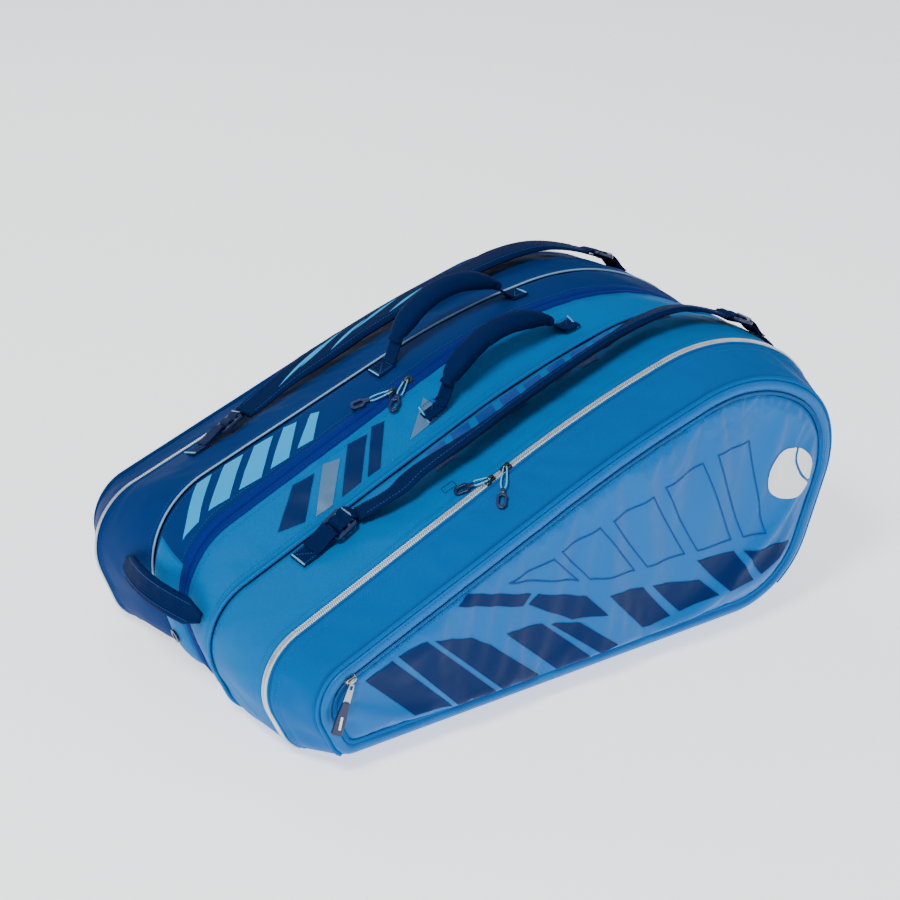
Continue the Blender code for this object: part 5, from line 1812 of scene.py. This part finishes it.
def above(surface):
    def place(x, y):
        _, _, normal = top_frame(x, y)
        start = on_top(x, y, 0.02)
        hit, _, _, _ = surface.ray_cast(start, -normal, 0.05)
        return None if hit is None else hit + normal * 0.0006
    return place


solid_bars = [
    [(-0.278, 0.104), (-0.248, 0.118), (-0.178, 0.043), (-0.224, 0.048)],
    [(-0.241, 0.121), (-0.208, 0.128), (-0.120, 0.038), (-0.170, 0.041)],
    [(-0.200, 0.127), (-0.150, 0.111), (-0.128, 0.096), (-0.062, 0.036), (-0.112, 0.038)],
    [(-0.168, 0.154), (-0.156, 0.164), (-0.075, 0.138), (-0.087, 0.128)],
    [(-0.066, 0.135), (-0.004, 0.113), (0.020, 0.086), (-0.022, 0.091), (-0.078, 0.126)],
    [(-0.110, 0.104), (-0.062, 0.099), (0.000, 0.041), (-0.042, 0.038)],
    [(-0.050, 0.094), (-0.012, 0.084), (0.034, 0.046), (0.011, 0.043)],
    [(0.022, 0.108), (0.073, 0.099), (0.110, 0.054), (0.074, 0.050)],
    [(0.086, 0.097), (0.152, 0.084), (0.172, 0.064), (0.122, 0.056)],
    [(0.146, 0.110), (0.200, 0.105), (0.222, 0.067), (0.186, 0.065)],
    [(0.212, 0.103), (0.280, 0.096), (0.262, 0.080), (0.234, 0.070)],
]
line_bars = [
    [(-0.070, 0.152), (-0.016, 0.136), (-0.050, 0.172), (-0.104, 0.160)],
    [(0.000, 0.132), (0.060, 0.124), (0.010, 0.190), (-0.040, 0.178)],
    [(0.076, 0.124), (0.130, 0.122), (0.078, 0.208), (0.026, 0.194)],
    [(0.146, 0.122), (0.196, 0.120), (0.148, 0.226), (0.096, 0.213)],
    [(0.212, 0.119), (0.240, 0.118), (0.214, 0.234), (0.166, 0.232)],
]
printed("pocket_print_solid", solid_bars, on_pocket, print_navy, "front_pocket", "satin_fabric")
printed("pocket_print_lines", [line for outline in line_bars for line in framed(outline)],
        on_pocket, print_line, "front_pocket", "satin_fabric", 0.004)
round_spot = (0.272, 0.182)


def arc(center, radius, start, end, count=40):
    return [(center[0] + radius * math.cos(a), center[1] + radius * math.sin(a))
            for a in np.linspace(math.radians(start), math.radians(end), count)]


# A ball in two parts, split by a curved seam whose circle lies beside it.
BALL_RADIUS, SEAM_INNER, SEAM_OUTER = 0.030, 0.0345, 0.0375
seam_center = (round_spot[0] + 0.044, round_spot[1] + 0.016)


def by_angle(points, middle):
    return sorted(points, key=lambda p: math.atan2(p[1] - middle[1], p[0] - middle[0]))


def distance(point, center):
    return math.hypot(point[0] - center[0], point[1] - center[1])


left = [p for p in arc(round_spot, BALL_RADIUS, 0, 354, 60)
        if distance(p, seam_center) > SEAM_OUTER]
right = [p for p in arc(round_spot, BALL_RADIUS, -180, 174, 60)
         if distance(p, seam_center) < SEAM_INNER]
inner_arc = [p for p in arc(seam_center, SEAM_OUTER, 90, 300, 60)
             if distance(p, round_spot) < BALL_RADIUS - 0.0002]
outer_arc = [p for p in arc(seam_center, SEAM_INNER, 90, 300, 60)
             if distance(p, round_spot) < BALL_RADIUS - 0.0002]
left_middle = (round_spot[0] - 0.010, round_spot[1] - 0.004)
right_middle = (round_spot[0] + 0.019, round_spot[1] + 0.007)
ball = [by_angle(left + inner_arc, left_middle), by_angle(right + outer_arc, right_middle)]
printed("pocket_print_ball", ball, on_pocket, print_white, "front_pocket", "satin_fabric", 0.005)

on_front_rear = above(surface_of(g_front))
dashes = []
for k in range(8):
    x0 = -0.112 + 0.0310 * k
    reach = 0.005 * ((k * 5) % 3)
    dashes.append([(x0, -0.110 + reach), (x0 + 0.022, -0.110 + reach), (x0 + 0.031, -0.076),
                   (x0 + 0.009, -0.076)])
printed("front_rear_print", dashes, on_front_rear, print_line, "front_unit", "sky_fabric")
printed("front_rear_print_grey",
        [[(0.166, -0.094), (0.184, -0.094), (0.191, -0.076), (0.172, -0.076)]],
        on_front_rear, print_grey, "front_unit", "sky_fabric")
printed("front_rear_print_navy",
        [[(0.190, -0.094), (0.212, -0.092), (0.217, -0.076), (0.197, -0.076)]],
        on_front_rear, print_navy, "front_unit", "sky_fabric")
on_mid_front = above(surface_of(g_mid_front))
printed("middle_front_print", [
    [(-0.268, -0.046), (-0.240, -0.054), (-0.206, -0.018), (-0.230, -0.014)],
    [(-0.196, -0.056), (-0.172, -0.056), (-0.140, -0.018), (-0.162, -0.014)],
    [(-0.164, -0.056), (-0.148, -0.056), (-0.118, -0.018), (-0.132, -0.014)],
], on_mid_front, print_navy, "front_unit", "sky_fabric")
printed("middle_front_print_grey", [
    [(-0.108, -0.052), (-0.064, -0.050), (-0.072, -0.024)],
    [(-0.228, -0.056), (-0.208, -0.057), (-0.176, -0.022), (-0.194, -0.016)],
], on_mid_front, print_grey, "front_unit", "sky_fabric")
on_mid_rear = above(surface_of(g_mid_rear))
printed("middle_rear_print", [
    [(-0.204, 0.020), (-0.186, 0.017), (-0.160, 0.046), (-0.168, 0.051)],
    [(-0.238, 0.019), (-0.216, 0.017), (-0.184, 0.054), (-0.198, 0.059)],
    [(-0.276, 0.020), (-0.250, 0.017), (-0.212, 0.057), (-0.234, 0.060)],
    [(-0.312, 0.022), (-0.288, 0.019), (-0.248, 0.059), (-0.270, 0.061)],
    [(-0.342, 0.026), (-0.324, 0.022), (-0.286, 0.060), (-0.304, 0.061)],
], on_mid_rear, print_cyan, "center", "dark_blue_fabric")

# Small stitched label beside the front zip.
label = [(-0.124, -0.142), (-0.110, -0.142), (-0.110, -0.134), (-0.124, -0.134), (-0.124, -0.142)]
line, ups_line = [], []
for (xa, ya), (xb, yb) in zip(label, label[1:]):
    for part in np.linspace(0.0, 1.0, 9)[:-1]:
        x, y = xa + (xb - xa) * part, ya + (yb - ya) * part
        hit = on_front_rear(x, y)
        if hit is not None:
            line.append(tuple(hit))
            ups_line.append(tuple(top_frame(x, y)[2]))
stitches("front_label_stitch", line, ups_line, print_navy, "front_unit", "sky_fabric", 0.0016,
         0.0006, 0.0004)


# ---------------------------------------------------------------- light, floor, camera
FLOOR_HALF_SIDE = 14.0
FLOOR_GLOW = 1.20
WORLD_STRENGTH = 0.34
LIGHTS = (  # name, place, diameter in metres, power in watts
    ("key", (-1.6, -0.9, 2.4), 0.8, 66.0),
    ("fill", (1.9, -1.6, 1.6), 1.8, 14.0),
    ("rim", (0.2, 2.2, 2.2), 1.6, 22.0),
)
CAMERA_AZIMUTH, CAMERA_ELEVATION = math.radians(-34.30), math.radians(25.52)
CAMERA_TARGET = Vector((-0.1151, -0.1375, 0.2768))
CAMERA_DISTANCE = 2.2


def build_stage():
    floor_mesh = bpy.data.meshes.new("studio_floor")
    shape = bmesh.new()
    bmesh.ops.create_grid(shape, x_segments=8, y_segments=8, size=FLOOR_HALF_SIDE)
    shape.to_mesh(floor_mesh)
    shape.free()
    floor = bpy.data.objects.new("studio_floor", floor_mesh)
    material, tree, shader = new_material("studio_floor", (0.90, 0.91, 0.92, 1.0), 0.85)
    shader.inputs["Emission Color"].default_value = (0.95, 0.97, 1.0, 1.0)
    shader.inputs["Emission Strength"].default_value = FLOOR_GLOW
    floor_mesh.materials.append(material)
    bpy.context.scene.collection.objects.link(floor)
    floor.location = (0.0, 0.0, -0.0004)
    world = bpy.context.scene.world or bpy.data.worlds.new("studio")
    bpy.context.scene.world = world
    world.use_nodes = True
    background = world.node_tree.nodes["Background"]
    background.inputs[0].default_value = (0.93, 0.96, 1.0, 1.0)
    background.inputs[1].default_value = WORLD_STRENGTH
    for name, place, size, power in LIGHTS:
        lamp = bpy.data.lights.new(name, "AREA")
        lamp.shape = "DISK"
        lamp.size = size
        lamp.energy = power
        light = bpy.data.objects.new(name, lamp)
        bpy.context.scene.collection.objects.link(light)
        light.location = place
        aim = Vector((0.0, 0.0, 0.15)) - Vector(place)
        light.rotation_euler = aim.to_track_quat("-Z", "Y").to_euler()


def build_camera():
    azimuth, elevation = CAMERA_AZIMUTH, CAMERA_ELEVATION
    back = Vector(
        (
            math.sin(azimuth) * math.cos(elevation),
            -math.cos(azimuth) * math.cos(elevation),
            math.sin(elevation),
        )
    )
    data = bpy.data.cameras.new("camera")
    data.sensor_width = 36.0
    data.lens = 86.2
    data.clip_start = 0.05
    camera = bpy.data.objects.new("camera", data)
    bpy.context.scene.collection.objects.link(camera)
    right = Vector((math.cos(azimuth), math.sin(azimuth), 0.0))
    up = back.cross(right)
    rotation = Matrix((right, up, back)).transposed().to_4x4()
    camera.matrix_world = Matrix.Translation(CAMERA_TARGET + back * CAMERA_DISTANCE) @ rotation
    bpy.context.scene.camera = camera


build_stage()
build_camera()
